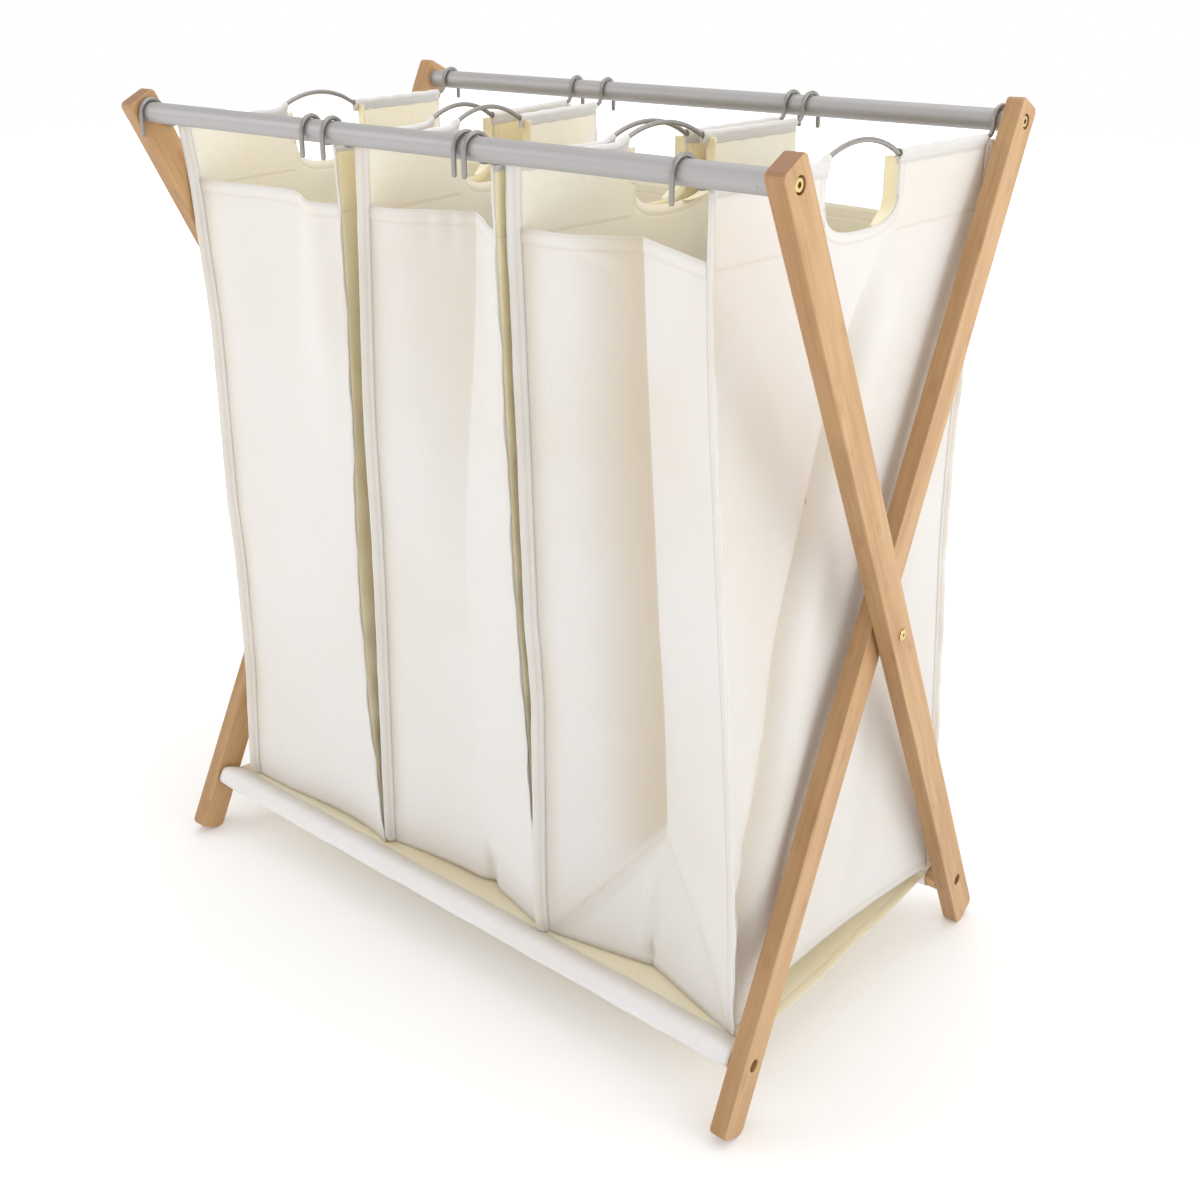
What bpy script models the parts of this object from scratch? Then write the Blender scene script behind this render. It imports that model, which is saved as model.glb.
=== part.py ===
# Laundry sorter: a folding X frame of bamboo legs with two metal top tubes,
# three canvas bags on wire hangers and a base cloth between the bottom bars.
# Metres, +Z up. X runs along the tubes and the front faces -Y. The origin is
# on the floor, under the middle of the frame.
#
# Legs A (right, outer) and C (left, inner) carry the front tube and the rear
# bar. Legs B (right, inner) and D (left, outer) carry the rear tube and the
# front bar. The two frames turn about one pivot line where the legs cross.

import math

import bpy
import bmesh
from mathutils import Vector
from mathutils.geometry import tessellate_polygon

for old in list(bpy.data.objects):
    bpy.data.objects.remove(old, do_unlink=True)

GAP = 0.0003                  # clearance kept between touching pieces

# Bamboo legs
LEG_THICK = 0.0150            # along X
LEG_WIDE = 0.0300             # across the leg
LEG_EASE = 0.0012             # rounding of the long edges
LEG_TOP_OVER = 0.0160         # wood beyond the top bolt
LEG_FOOT_OVER = 0.0600        # wood beyond the bar screw
LEG_TOP_ROUND = 0.0050
LEG_FOOT_ROUND = 0.0060
OUTER_LEG_X = 0.3420          # mid plane of legs A and D
INNER_LEG_X = 0.3230          # mid plane of legs B and C
TUBE_Y = 0.1907               # tube axes, in front of and behind the pivot
TUBE_Z = 0.7587
BAR_Y = 0.1624                # bar screws
BAR_Z = 0.0576

# Top tubes and their ends
TUBE_RADIUS = 0.0090
TUBE_WALL = 0.0010
PLUG_LENGTH = 0.0220
DIMPLE_RADIUS = 0.0016
DIMPLE_FROM_LEG = 0.0100
BOLT_HEAD_RADIUS = 0.0050
BOLT_HEAD_HEIGHT = 0.0060
BOLT_SHANK_RADIUS = 0.0030
BOLT_HEX = 0.0020             # half the hexagon across its flats
BOLT_SINK_RADIUS = 0.00635
BOLT_SINK_DEPTH = 0.0070
BOLT_IN_PLUG = 0.0180

# Bottom bars and their screws
BAR_WIDE = 0.0240             # across the leg
BAR_HIGH = 0.0140             # along the leg
BAR_SHIFT_WIDE = 0.0025       # bar centre from the screw, towards the middle
BAR_SHIFT_HIGH = 0.0004
BAR_EASE = 0.0010
SCREW_HEAD_RADIUS = 0.0043
SCREW_HEAD_HEIGHT = 0.0030
SCREW_SHANK_RADIUS = 0.0020
SCREW_HEX = 0.0014
SCREW_SINK_RADIUS = 0.0055
SCREW_SINK_DEPTH = 0.0057
SCREW_IN_BAR = 0.0250

# Pivot
PIVOT_HEAD_RADIUS = 0.0050
PIVOT_HEAD_HEIGHT = 0.0012
PIVOT_HEX = 0.0014
PIVOT_SHANK_RADIUS = 0.0020
PIVOT_NUT_RADIUS = 0.0036
PIVOT_NUT_HEIGHT = 0.0034
WASHER_RADIUS = 0.0070

# Wire hangers
WIRE_RADIUS = 0.0020
HOOK_RADIUS = TUBE_RADIUS + GAP + WIRE_RADIUS
HOOK_DROP = 0.0202            # tip of the hook below the tube axis
HOOK_BEND = 0.0070            # bend from the hook into the hem
HEM_Z = 0.7465                # wire in the hem of the bag
ARCH_RADIUS = 0.0882
ARCH_RISE = 0.0142
ARCH_BEND = 0.0060

# Canvas bags: every bag is given by its two hangers (x over the front tube
# and x over the rear tube) and by its floor corners.
CLOTH = 0.0020                # wall of the bag's solid
BAG_FLOOR = 0.0605
BAG_MOUTH = 0.6955            # top edge of the front and rear panels
EAR_TOP = HEM_Z - WIRE_RADIUS - GAP
EAR_FRONT_Y = -0.1650
EAR_REAR_Y = 0.1700
HANDLE_HALF = 0.0480          # half the width of the handle opening
HANDLE_FLOOR = 0.6940
HANDLE_SHOULDER = 0.7150
BAGS = {
    "left": {
        "hangers": ((-0.3120, -0.3115), (-0.0985, -0.1365)),
        "floor_front": (-0.3100, -0.1180, -0.1470),
        "floor_rear": (-0.3060, -0.1070, 0.1450),
        "front_bow": (-0.0080, 0.0),
        "floor_bow": 0.0060,
    },
    "middle": {
        "hangers": ((-0.0735, -0.0975), (0.0705, 0.1135)),
        "floor_front": (-0.1120, 0.0920, -0.1420),
        "floor_rear": (-0.0950, 0.1160, 0.1450),
        "front_bow": (0.0060, 0.0100),
        "floor_bow": 0.0100,
    },
    "right": {
        "hangers": ((0.0810, 0.1325), (0.2635, 0.3095)),
        "floor_front": (0.0980, 0.2970, -0.1470),
        "floor_rear": (0.1220, 0.3250, 0.1450),
        "front_bow": (0.0300, 0.0380),
        "floor_bow": 0.0220,
    },
}

# Base cloth
BASE_CLOTH = 0.0010
BASE_SAG = 0.0040
SLEEVE_ARC_STEPS = 4
BASE_FRONT_X = (-0.3335, 0.3132)
BASE_REAR_X = (-0.3115, 0.3255)

ROUND_SIDES = 18
TUBE_SIDES = 36
HOLE_SIDES = 18
WIRE_SIDES = 6

BAMBOO = (0.62, 0.42, 0.22)
TUBE_METAL = (0.55, 0.54, 0.55)
BRASS = (0.72, 0.60, 0.33)
DARK_STEEL = (0.08, 0.07, 0.06)
WIRE_METAL = (0.42, 0.41, 0.40)
NYLON = (0.05, 0.05, 0.05)
CANVAS = (0.86, 0.84, 0.78)
BASE_CANVAS = (0.82, 0.81, 0.82)

# Leg line: from the tube axis down to the bar screw of the same leg
LEG_SPAN = math.hypot(TUBE_Y + BAR_Y, TUBE_Z - BAR_Z)
ALONG_Y = (TUBE_Y + BAR_Y) / LEG_SPAN
ALONG_Z = -(TUBE_Z - BAR_Z) / LEG_SPAN
PIVOT_DOWN = TUBE_Y / ALONG_Y
PIVOT_Z = TUBE_Z + PIVOT_DOWN * ALONG_Z


def empty(name, location):
    ob = bpy.data.objects.new(name, None)
    ob.location = location
    ob.empty_display_size = 0.05
    bpy.context.collection.objects.link(ob)
    return ob


FRONT_FRAME = empty("front_tube_frame", (0.0, 0.0, 0.0))
REAR_FRAME = empty("rear_tube_frame", (0.0, 0.0, PIVOT_Z))


def dress(ob, color, roughness, metallic):
    material = bpy.data.materials.new(ob.name + "_material")
    material.use_nodes = True
    shader = material.node_tree.nodes["Principled BSDF"]
    shader.inputs["Base Color"].default_value = (*color, 1.0)
    shader.inputs["Roughness"].default_value = roughness
    shader.inputs["Metallic"].default_value = metallic
    ob.data.materials.append(material)


def solid(name, points, faces, parent, look, smooth_below=35.0):
    """One closed body from world points, hung on its parent empty."""
    base = parent.location
    mesh = bpy.data.meshes.new(name)
    local = [(p[0] - base.x, p[1] - base.y, p[2] - base.z) for p in points]
    mesh.from_pydata(local, [], faces)
    bm = bmesh.new()
    bm.from_mesh(mesh)
    bmesh.ops.recalc_face_normals(bm, faces=bm.faces)
    bm.to_mesh(mesh)
    bm.free()
    mesh.shade_smooth()
    mesh.set_sharp_from_angle(angle=math.radians(smooth_below))
    ob = bpy.data.objects.new(name, mesh)
    ob.parent = parent
    bpy.context.collection.objects.link(ob)
    dress(ob, *look)
    return ob


def circle(center, radius, sides):
    turn = 2.0 * math.pi / sides
    return [(center[0] + radius * math.cos(i * turn),
             center[1] + radius * math.sin(i * turn)) for i in range(sides)]


def rounded(corners, radii, inset):
    """Convex outline with round corners, moved inwards by the inset."""
    outline = []
    count = len(corners)
    for i, corner in enumerate(corners):
        here = Vector(corner)
        back = (Vector(corners[i - 1]) - here).normalized()
        ahead = (Vector(corners[(i + 1) % count]) - here).normalized()
        half = back.angle(ahead) / 2.0
        center = here + (back + ahead).normalized() * (radii[i] / math.sin(half))
        start = (here + back * (radii[i] / math.tan(half)) - center).normalized()
        end = (here + ahead * (radii[i] / math.tan(half)) - center).normalized()
        sweep = math.atan2(start.x * end.y - start.y * end.x, start.dot(end))
        steps = max(2, round(abs(math.degrees(sweep)) / 22.0))
        for k in range(steps + 1):
            angle = sweep * k / steps
            away = Vector((start.x * math.cos(angle) - start.y * math.sin(angle),
                           start.x * math.sin(angle) + start.y * math.cos(angle)))
            outline.append(tuple(center + away * (radii[i] - inset)))
    return outline


def bored_block(name, layers, bores, parent, look):
    """Outline stacked along X, with round bores in its two end faces.

    layers: (x, outline in y and z) from the first end to the last.
    bores: (end, center, steps, through), steps as (x, radius).
    """
    points = []
    faces = []
    rings = []
    for x, outline in layers:
        rings.append(range(len(points), len(points) + len(outline)))
        points.extend((x, y, z) for y, z in outline)
    for low, high in zip(rings, rings[1:]):
        for i in range(len(low)):
            j = (i + 1) % len(low)
            faces.append((low[i], low[j], high[j], high[i]))
    ends = {"first": [rings[0]], "last": [rings[-1]]}
    for end, center, steps, through in bores:
        bore = []
        for x, radius in steps:
            bore.append(range(len(points), len(points) + HOLE_SIDES))
            points.extend((x, y, z) for y, z in circle(center, radius, HOLE_SIDES))
        for low, high in zip(bore, bore[1:]):
            for i in range(HOLE_SIDES):
                j = (i + 1) % HOLE_SIDES
                faces.append((low[i], low[j], high[j], high[i]))
        ends[end].append(bore[0])
        if through:
            ends["last" if end == "first" else "first"].append(bore[-1])
        else:
            faces.append(tuple(bore[-1]))
    for loops in ends.values():
        order = [index for loop in loops for index in loop]
        flat = [[Vector((0.0, points[i][1], points[i][2])) for i in loop]
                for loop in loops]
        for triangle in tessellate_polygon(flat):
            faces.append(tuple(order[i] for i in triangle))
    return solid(name, points, faces, parent, look)


def turned(name, profile, start, direction, sides, parent, look, closed=False):
    """Body of revolution about a line along X.

    profile: (distance along the axis, radius, is it a hexagon). Either the
    two ends are capped, or the profile closes into a ring.
    """
    points = []
    faces = []
    rings = []
    for distance, radius, hexagon in profile:
        rings.append(range(len(points), len(points) + sides))
        for i in range(sides):
            angle = 2.0 * math.pi * i / sides
            reach = radius
            if hexagon:
                from_flat = (angle % (math.pi / 3.0)) - math.pi / 6.0
                reach = radius / math.cos(from_flat)
            points.append((start[0] + direction * distance,
                           start[1] + reach * math.cos(angle),
                           start[2] + reach * math.sin(angle)))
    pairs = list(zip(rings, rings[1:]))
    if closed:
        pairs.append((rings[-1], rings[0]))
    for low, high in pairs:
        for i in range(sides):
            j = (i + 1) % sides
            faces.append((low[i], low[j], high[j], high[i]))
    if not closed:
        faces.append(tuple(rings[0]))
        faces.append(tuple(rings[-1]))
    return solid(name, points, faces, parent, look)


def on_leg(down, across, top_side):
    """Point in the Y-Z plane of a leg.

    down runs from the tube axis towards the foot, across towards the upper
    side. top_side is -1 where the leg's top is at the front, +1 at the rear.
    """
    y = top_side * (TUBE_Y - down * ALONG_Y - across * -ALONG_Z)
    z = TUBE_Z + down * ALONG_Z + across * ALONG_Y
    return (y, z)


def leg_outline(top_side, inset):
    half = LEG_WIDE / 2.0
    foot = LEG_SPAN + LEG_FOOT_OVER
    floor_on_cut = -(TUBE_Z + foot * ALONG_Z) / ALONG_Y
    floor_on_side = -(TUBE_Z - half * ALONG_Y) / ALONG_Z
    corners = [
        on_leg(-LEG_TOP_OVER, -half, top_side),
        on_leg(-LEG_TOP_OVER, half, top_side),
        on_leg(foot, half, top_side),
        on_leg(foot, floor_on_cut, top_side),
        on_leg(floor_on_side, -half, top_side),
    ]
    radii = [LEG_TOP_ROUND, LEG_TOP_ROUND, LEG_FOOT_ROUND, LEG_FOOT_ROUND,
             LEG_FOOT_ROUND]
    return rounded(corners, radii, inset)


def eased(x_from, x_to, ease, outline):
    """Layers of a block whose outline is eased at both ends."""
    way = math.copysign(1.0, x_to - x_from)
    return [
        (x_from, outline(ease)),
        (x_from + way * ease * 0.3, outline(ease * 0.3)),
        (x_from + way * ease, outline(0.0)),
        (x_to - way * ease, outline(0.0)),
        (x_to - way * ease * 0.3, outline(ease * 0.3)),
        (x_to, outline(ease)),
    ]


def leg(name, mid_x, top_side, pivot_radius, parent):
    """Leg with its sunk bores on the side that faces away from the middle."""
    away = math.copysign(1.0, mid_x)
    outside = mid_x + away * LEG_THICK / 2.0
    inside = mid_x - away * LEG_THICK / 2.0
    bolt_floor = outside - away * BOLT_SINK_DEPTH
    screw_floor = outside - away * SCREW_SINK_DEPTH
    bolt_bore = BOLT_SHANK_RADIUS + GAP
    screw_bore = SCREW_SHANK_RADIUS + GAP
    bores = [
        ("first", on_leg(0.0, 0.0, top_side),
         [(outside, BOLT_SINK_RADIUS), (bolt_floor, BOLT_SINK_RADIUS),
          (bolt_floor, bolt_bore), (inside, bolt_bore)], True),
        ("first", on_leg(LEG_SPAN, 0.0, top_side),
         [(outside, SCREW_SINK_RADIUS), (screw_floor, SCREW_SINK_RADIUS),
          (screw_floor, screw_bore), (inside, screw_bore)], True),
        ("first", on_leg(PIVOT_DOWN, 0.0, top_side),
         [(outside, pivot_radius), (inside, pivot_radius)], True),
    ]

    def outline(inset):
        return leg_outline(top_side, inset)

    layers = eased(outside, inside, LEG_EASE, outline)
    bored_block(name, layers, bores, parent, (BAMBOO, 0.45, 0.0))


FRONT_TOP = -1
REAR_TOP = 1
PIVOT_BORE = PIVOT_SHANK_RADIUS + GAP
leg("leg_right_outer", OUTER_LEG_X, FRONT_TOP, PIVOT_BORE, FRONT_FRAME)
leg("leg_left_inner", -INNER_LEG_X, FRONT_TOP, PIVOT_BORE, FRONT_FRAME)
leg("leg_right_inner", INNER_LEG_X, REAR_TOP, PIVOT_BORE, REAR_FRAME)
leg("leg_left_outer", -OUTER_LEG_X, REAR_TOP, PIVOT_BORE, REAR_FRAME)

# Faces that the tubes and bars butt against
RIGHT_OUTER_FACE = OUTER_LEG_X - LEG_THICK / 2.0
RIGHT_INNER_FACE = INNER_LEG_X - LEG_THICK / 2.0


def tube(name, left_face, right_face, y, parent):
    left = left_face + GAP
    length = right_face - GAP - left
    inner = TUBE_RADIUS - TUBE_WALL
    profile = [(0.0, inner, False), (0.0, TUBE_RADIUS, False),
               (length, TUBE_RADIUS, False), (length, inner, False)]
    return turned(name, profile, (left, y, TUBE_Z), 1.0, TUBE_SIDES, parent,
                  (TUBE_METAL, 0.35, 0.9), closed=True)


front_tube = tube("tube_front", -RIGHT_INNER_FACE, RIGHT_OUTER_FACE, -TUBE_Y,
                  FRONT_FRAME)
tube("tube_rear", -RIGHT_OUTER_FACE, RIGHT_INNER_FACE, TUBE_Y, REAR_FRAME)

# Punched dimple on the lower front of the front tube, beside leg A
dimple_mesh = bpy.data.meshes.new("dimple_cutter")
dimple_form = bmesh.new()
bmesh.ops.create_uvsphere(dimple_form, u_segments=12, v_segments=8,
                          radius=DIMPLE_RADIUS)
dimple_form.to_mesh(dimple_mesh)
dimple_form.free()
dimple = bpy.data.objects.new("dimple_cutter", dimple_mesh)
dimple_angle = math.radians(-15.0)
dimple_reach = TUBE_RADIUS + DIMPLE_RADIUS * 0.65
dimple.location = (RIGHT_OUTER_FACE - DIMPLE_FROM_LEG,
                   -TUBE_Y - dimple_reach * math.cos(dimple_angle),
                   TUBE_Z + dimple_reach * math.sin(dimple_angle))
dimple.hide_render = True
dimple.display_type = "WIRE"
bpy.context.collection.objects.link(dimple)
cut = front_tube.modifiers.new("dimple", "BOOLEAN")
cut.operation = "DIFFERENCE"
cut.solver = "EXACT"
cut.object = dimple


def plug(name, face_x, y, parent):
    """Threaded plug in a tube end, starting at the leg's face."""
    into = -math.copysign(1.0, face_x)
    bore = BOLT_SHANK_RADIUS + GAP
    outer = TUBE_RADIUS - TUBE_WALL - GAP
    profile = [(0.0, bore, False), (0.0, outer, False),
               (PLUG_LENGTH, outer, False), (PLUG_LENGTH, bore, False)]
    turned(name, profile, (face_x + into * GAP, y, TUBE_Z), into, ROUND_SIDES,
           parent, (NYLON, 0.6, 0.0), closed=True)


def sunk_fastener(name, outside, center, sizes, tip, parent, look):
    """Socket head in its counterbore, with a shank towards the middle."""
    into = -math.copysign(1.0, outside)
    head_radius, head_height, shank_radius, socket, sink = sizes
    top = sink - GAP - head_height
    edge = head_radius * 0.12
    profile = [
        (top + head_height * 0.55, socket, True),
        (top, socket, True),
        (top, head_radius - edge, False),
        (top + edge, head_radius, False),
        (top + head_height, head_radius, False),
        (top + head_height, shank_radius, False),
        (tip - shank_radius, shank_radius, False),
        (tip, shank_radius * 0.4, False),
    ]
    turned(name, profile, (outside, *center), into, ROUND_SIDES, parent, look)


LEGS = [
    ("right_outer", OUTER_LEG_X, FRONT_TOP, FRONT_FRAME),
    ("left_inner", -INNER_LEG_X, FRONT_TOP, FRONT_FRAME),
    ("right_inner", INNER_LEG_X, REAR_TOP, REAR_FRAME),
    ("left_outer", -OUTER_LEG_X, REAR_TOP, REAR_FRAME),
]
BOLT_SIZES = (BOLT_HEAD_RADIUS, BOLT_HEAD_HEIGHT, BOLT_SHANK_RADIUS, BOLT_HEX,
              BOLT_SINK_DEPTH)
SCREW_SIZES = (SCREW_HEAD_RADIUS, SCREW_HEAD_HEIGHT, SCREW_SHANK_RADIUS,
               SCREW_HEX, SCREW_SINK_DEPTH)
for leg_name, mid_x, top_side, frame in LEGS:
    side = math.copysign(1.0, mid_x)
    outer_face = mid_x + side * LEG_THICK / 2.0
    inner_face = mid_x - side * LEG_THICK / 2.0
    plug("plug_" + leg_name, inner_face, top_side * TUBE_Y, frame)
    sunk_fastener("bolt_top_" + leg_name, outer_face,
                  on_leg(0.0, 0.0, top_side), BOLT_SIZES,
                  LEG_THICK + BOLT_IN_PLUG, frame, (BRASS, 0.3, 1.0))
    sunk_fastener("screw_foot_" + leg_name, outer_face,
                  on_leg(LEG_SPAN, 0.0, top_side), SCREW_SIZES,
                  LEG_THICK + SCREW_IN_BAR, frame, (BRASS, 0.4, 1.0))


def bar_outline(top_side, grow, inset):
    """Section of a bottom bar, turned with its legs."""
    low = BAR_SHIFT_HIGH - BAR_HIGH / 2.0 - grow
    high = BAR_SHIFT_HIGH + BAR_HIGH / 2.0 + grow
    near = BAR_SHIFT_WIDE - BAR_WIDE / 2.0 - grow
    far = BAR_SHIFT_WIDE + BAR_WIDE / 2.0 + grow
    corners = [
        on_leg(LEG_SPAN + low, -far, top_side),
        on_leg(LEG_SPAN + low, -near, top_side),
        on_leg(LEG_SPAN + high, -near, top_side),
        on_leg(LEG_SPAN + high, -far, top_side),
    ]
    return rounded(corners, [BAR_EASE + grow] * 4, inset)


def bar(name, left_face, right_face, top_side, parent):
    left = left_face + GAP
    right = right_face - GAP
    bore = SCREW_SHANK_RADIUS + GAP
    depth = SCREW_IN_BAR + 2.0 * GAP
    center = on_leg(LEG_SPAN, 0.0, top_side)
    bores = [
        ("first", center, [(left, bore), (left + depth, bore)], False),
        ("last", center, [(right, bore), (right - depth, bore)], False),
    ]

    def outline(inset):
        return bar_outline(top_side, 0.0, inset)

    layers = [(left, outline(0.0)), (right, outline(0.0))]
    bored_block(name, layers, bores, parent, (BAMBOO, 0.5, 0.0))


bar("bar_rear", -RIGHT_INNER_FACE, RIGHT_OUTER_FACE, FRONT_TOP, FRONT_FRAME)
bar("bar_front", -RIGHT_OUTER_FACE, RIGHT_INNER_FACE, REAR_TOP, REAR_FRAME)


def pivot(side_name, side):
    """Bolt, spacer washer and cap nut through the two legs of one side."""
    into = -side
    outside = side * (OUTER_LEG_X + LEG_THICK / 2.0)
    inside = side * (INNER_LEG_X - LEG_THICK / 2.0)
    between = side * (OUTER_LEG_X - LEG_THICK / 2.0)
    spacing = OUTER_LEG_X - INNER_LEG_X - LEG_THICK
    through = abs(outside - inside)
    top = -GAP - PIVOT_HEAD_HEIGHT
    bolt_end = through + GAP + PIVOT_NUT_HEIGHT - 3.0 * GAP - PIVOT_HEAD_HEIGHT
    bolt = [
        (-GAP * 2.0, PIVOT_HEX, True),
        (top, PIVOT_HEX, True),
        (top, PIVOT_HEAD_RADIUS * 0.82, False),
        (top + PIVOT_HEAD_HEIGHT * 0.5, PIVOT_HEAD_RADIUS, False),
        (-GAP, PIVOT_HEAD_RADIUS, False),
        (-GAP, PIVOT_SHANK_RADIUS, False),
        (bolt_end, PIVOT_SHANK_RADIUS, False),
    ]
    turned("pivot_bolt_" + side_name, bolt, (outside, 0.0, PIVOT_Z), into,
           ROUND_SIDES, FRONT_FRAME, (BRASS, 0.3, 1.0))
    ring = [
        (GAP, PIVOT_BORE, False),
        (GAP, WASHER_RADIUS, False),
        (spacing - GAP, WASHER_RADIUS, False),
        (spacing - GAP, PIVOT_BORE, False),
    ]
    turned("pivot_washer_" + side_name, ring, (between, 0.0, PIVOT_Z), into,
           ROUND_SIDES, FRONT_FRAME, (NYLON, 0.5, 0.0), closed=True)
    blind = bolt_end - through + GAP
    nut = [
        (blind, PIVOT_BORE, False),
        (GAP, PIVOT_BORE, False),
        (GAP, PIVOT_NUT_RADIUS, False),
        (PIVOT_NUT_HEIGHT * 0.6, PIVOT_NUT_RADIUS, False),
        (PIVOT_NUT_HEIGHT * 0.88, PIVOT_NUT_RADIUS * 0.8, False),
        (PIVOT_NUT_HEIGHT + GAP, PIVOT_NUT_RADIUS * 0.4, False),
    ]
    turned("pivot_nut_" + side_name, nut, (inside, 0.0, PIVOT_Z), into,
           ROUND_SIDES, FRONT_FRAME, (DARK_STEEL, 0.4, 0.8))


pivot("right", 1.0)
pivot("left", -1.0)


def arc(center, radius, start, end, steps):
    """Points on an arc in the Y-Z plane, angles in degrees from +Y."""
    return [(center[0] + radius * math.cos(math.radians(start + (end - start) * k / steps)),
             center[1] + radius * math.sin(math.radians(start + (end - start) * k / steps)))
            for k in range(steps + 1)]


def hanger_path():
    """Front hook, bend, hem run, handle arch and back, symmetric about Y = 0."""
    front_y = -TUBE_Y
    front = [(front_y - HOOK_RADIUS, TUBE_Z - HOOK_DROP)]
    front += arc((front_y, TUBE_Z), HOOK_RADIUS, 180.0, 0.0, 10)
    bend_y = front_y + HOOK_RADIUS + HOOK_BEND
    front += arc((bend_y, HEM_Z + HOOK_BEND), HOOK_BEND, 180.0, 270.0, 4)
    center_z = HEM_Z + ARCH_RISE - ARCH_RADIUS
    reach = ARCH_RADIUS + ARCH_BEND
    bend_z = HEM_Z + ARCH_BEND
    foot_y = -math.sqrt(reach ** 2 - (bend_z - center_z) ** 2)
    lean = math.degrees(math.atan2(bend_z - center_z, -foot_y))
    front += arc((foot_y, bend_z), ARCH_BEND, 270.0, 360.0 - lean, 3)
    half_arch = arc((0.0, center_z), ARCH_RADIUS, 180.0 - lean, 90.0, 5)[1:]
    front += half_arch
    rear = [(-y, z) for y, z in reversed(front[:-1])]
    return front + rear


def hanger(name, over_front, over_rear, parent):
    """Round wire swept along the hanger path, in a slightly turned plane."""
    slope = (over_rear - over_front) / (2.0 * TUBE_Y)
    middle = (over_front + over_rear) / 2.0
    path = [Vector((middle + slope * y, y, z)) for y, z in hanger_path()]
    sideways = Vector((1.0, -slope, 0.0)).normalized()
    points = []
    faces = []
    for i, here in enumerate(path):
        back = path[max(i - 1, 0)]
        ahead = path[min(i + 1, len(path) - 1)]
        along = (here - back).normalized() if i else Vector()
        if i < len(path) - 1:
            along = along + (ahead - here).normalized()
        across = along.normalized().cross(sideways)
        for k in range(WIRE_SIDES):
            angle = 2.0 * math.pi * k / WIRE_SIDES
            away = sideways * math.cos(angle) + across * math.sin(angle)
            points.append(tuple(here + away * WIRE_RADIUS))
    for i in range(len(path) - 1):
        for k in range(WIRE_SIDES):
            low = i * WIRE_SIDES
            j = (k + 1) % WIRE_SIDES
            faces.append((low + k, low + j, low + WIRE_SIDES + j, low + WIRE_SIDES + k))
    faces.append(tuple(range(WIRE_SIDES)))
    faces.append(tuple(range(len(points) - WIRE_SIDES, len(points))))
    solid(name, points, faces, parent, (WIRE_METAL, 0.35, 0.9), 50.0)


def blend(a, b, t):
    return a + (b - a) * t


# Bag panels: stations along the front panel (share of its width) and along
# the side panels (y at the height of the ears)
FRONT_STATIONS = (0.0, 0.25, 0.5, 0.75)
SIDE_STATIONS = (EAR_FRONT_Y, -0.105, -HANDLE_HALF, -0.044, -0.030, 0.0, 0.030,
                 0.044, HANDLE_HALF, 0.108)
LEVELS = (BAG_FLOOR, 0.090, 0.200, 0.320, 0.440, 0.570, BAG_MOUTH)
HANDLE_CURVE = {0.0: HANDLE_FLOOR, 0.030: HANDLE_FLOOR + 0.0015, 0.044: 0.7030,
                HANDLE_HALF: HANDLE_SHOULDER}
BELOW_HANDLE = 0.6840
FLARE_FROM = 0.385            # below this height the rear panel hangs straight
REAR_STRAIGHT_Y = 0.1360


def bag_columns():
    """Stations round the bag: (panel, share along the panel, ear y)."""
    ear_span = EAR_REAR_Y - EAR_FRONT_Y
    columns = [("front", s, None) for s in FRONT_STATIONS]
    columns += [("right", (y - EAR_FRONT_Y) / ear_span, y) for y in SIDE_STATIONS]
    columns += [("rear", s, None) for s in FRONT_STATIONS]
    mirrored = (EAR_REAR_Y,) + tuple(reversed(SIDE_STATIONS[1:]))
    columns += [("left", (y - EAR_FRONT_Y) / ear_span, y) for y in mirrored]
    return columns


def rear_y(level, floor_y):
    if level < FLARE_FROM:
        return blend(floor_y, REAR_STRAIGHT_Y, (level - BAG_FLOOR) / (FLARE_FROM - BAG_FLOOR))
    share = (level - FLARE_FROM) / (BAG_MOUTH - FLARE_FROM)
    return blend(REAR_STRAIGHT_Y, EAR_REAR_Y - 0.004, min(share, 1.0))


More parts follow.
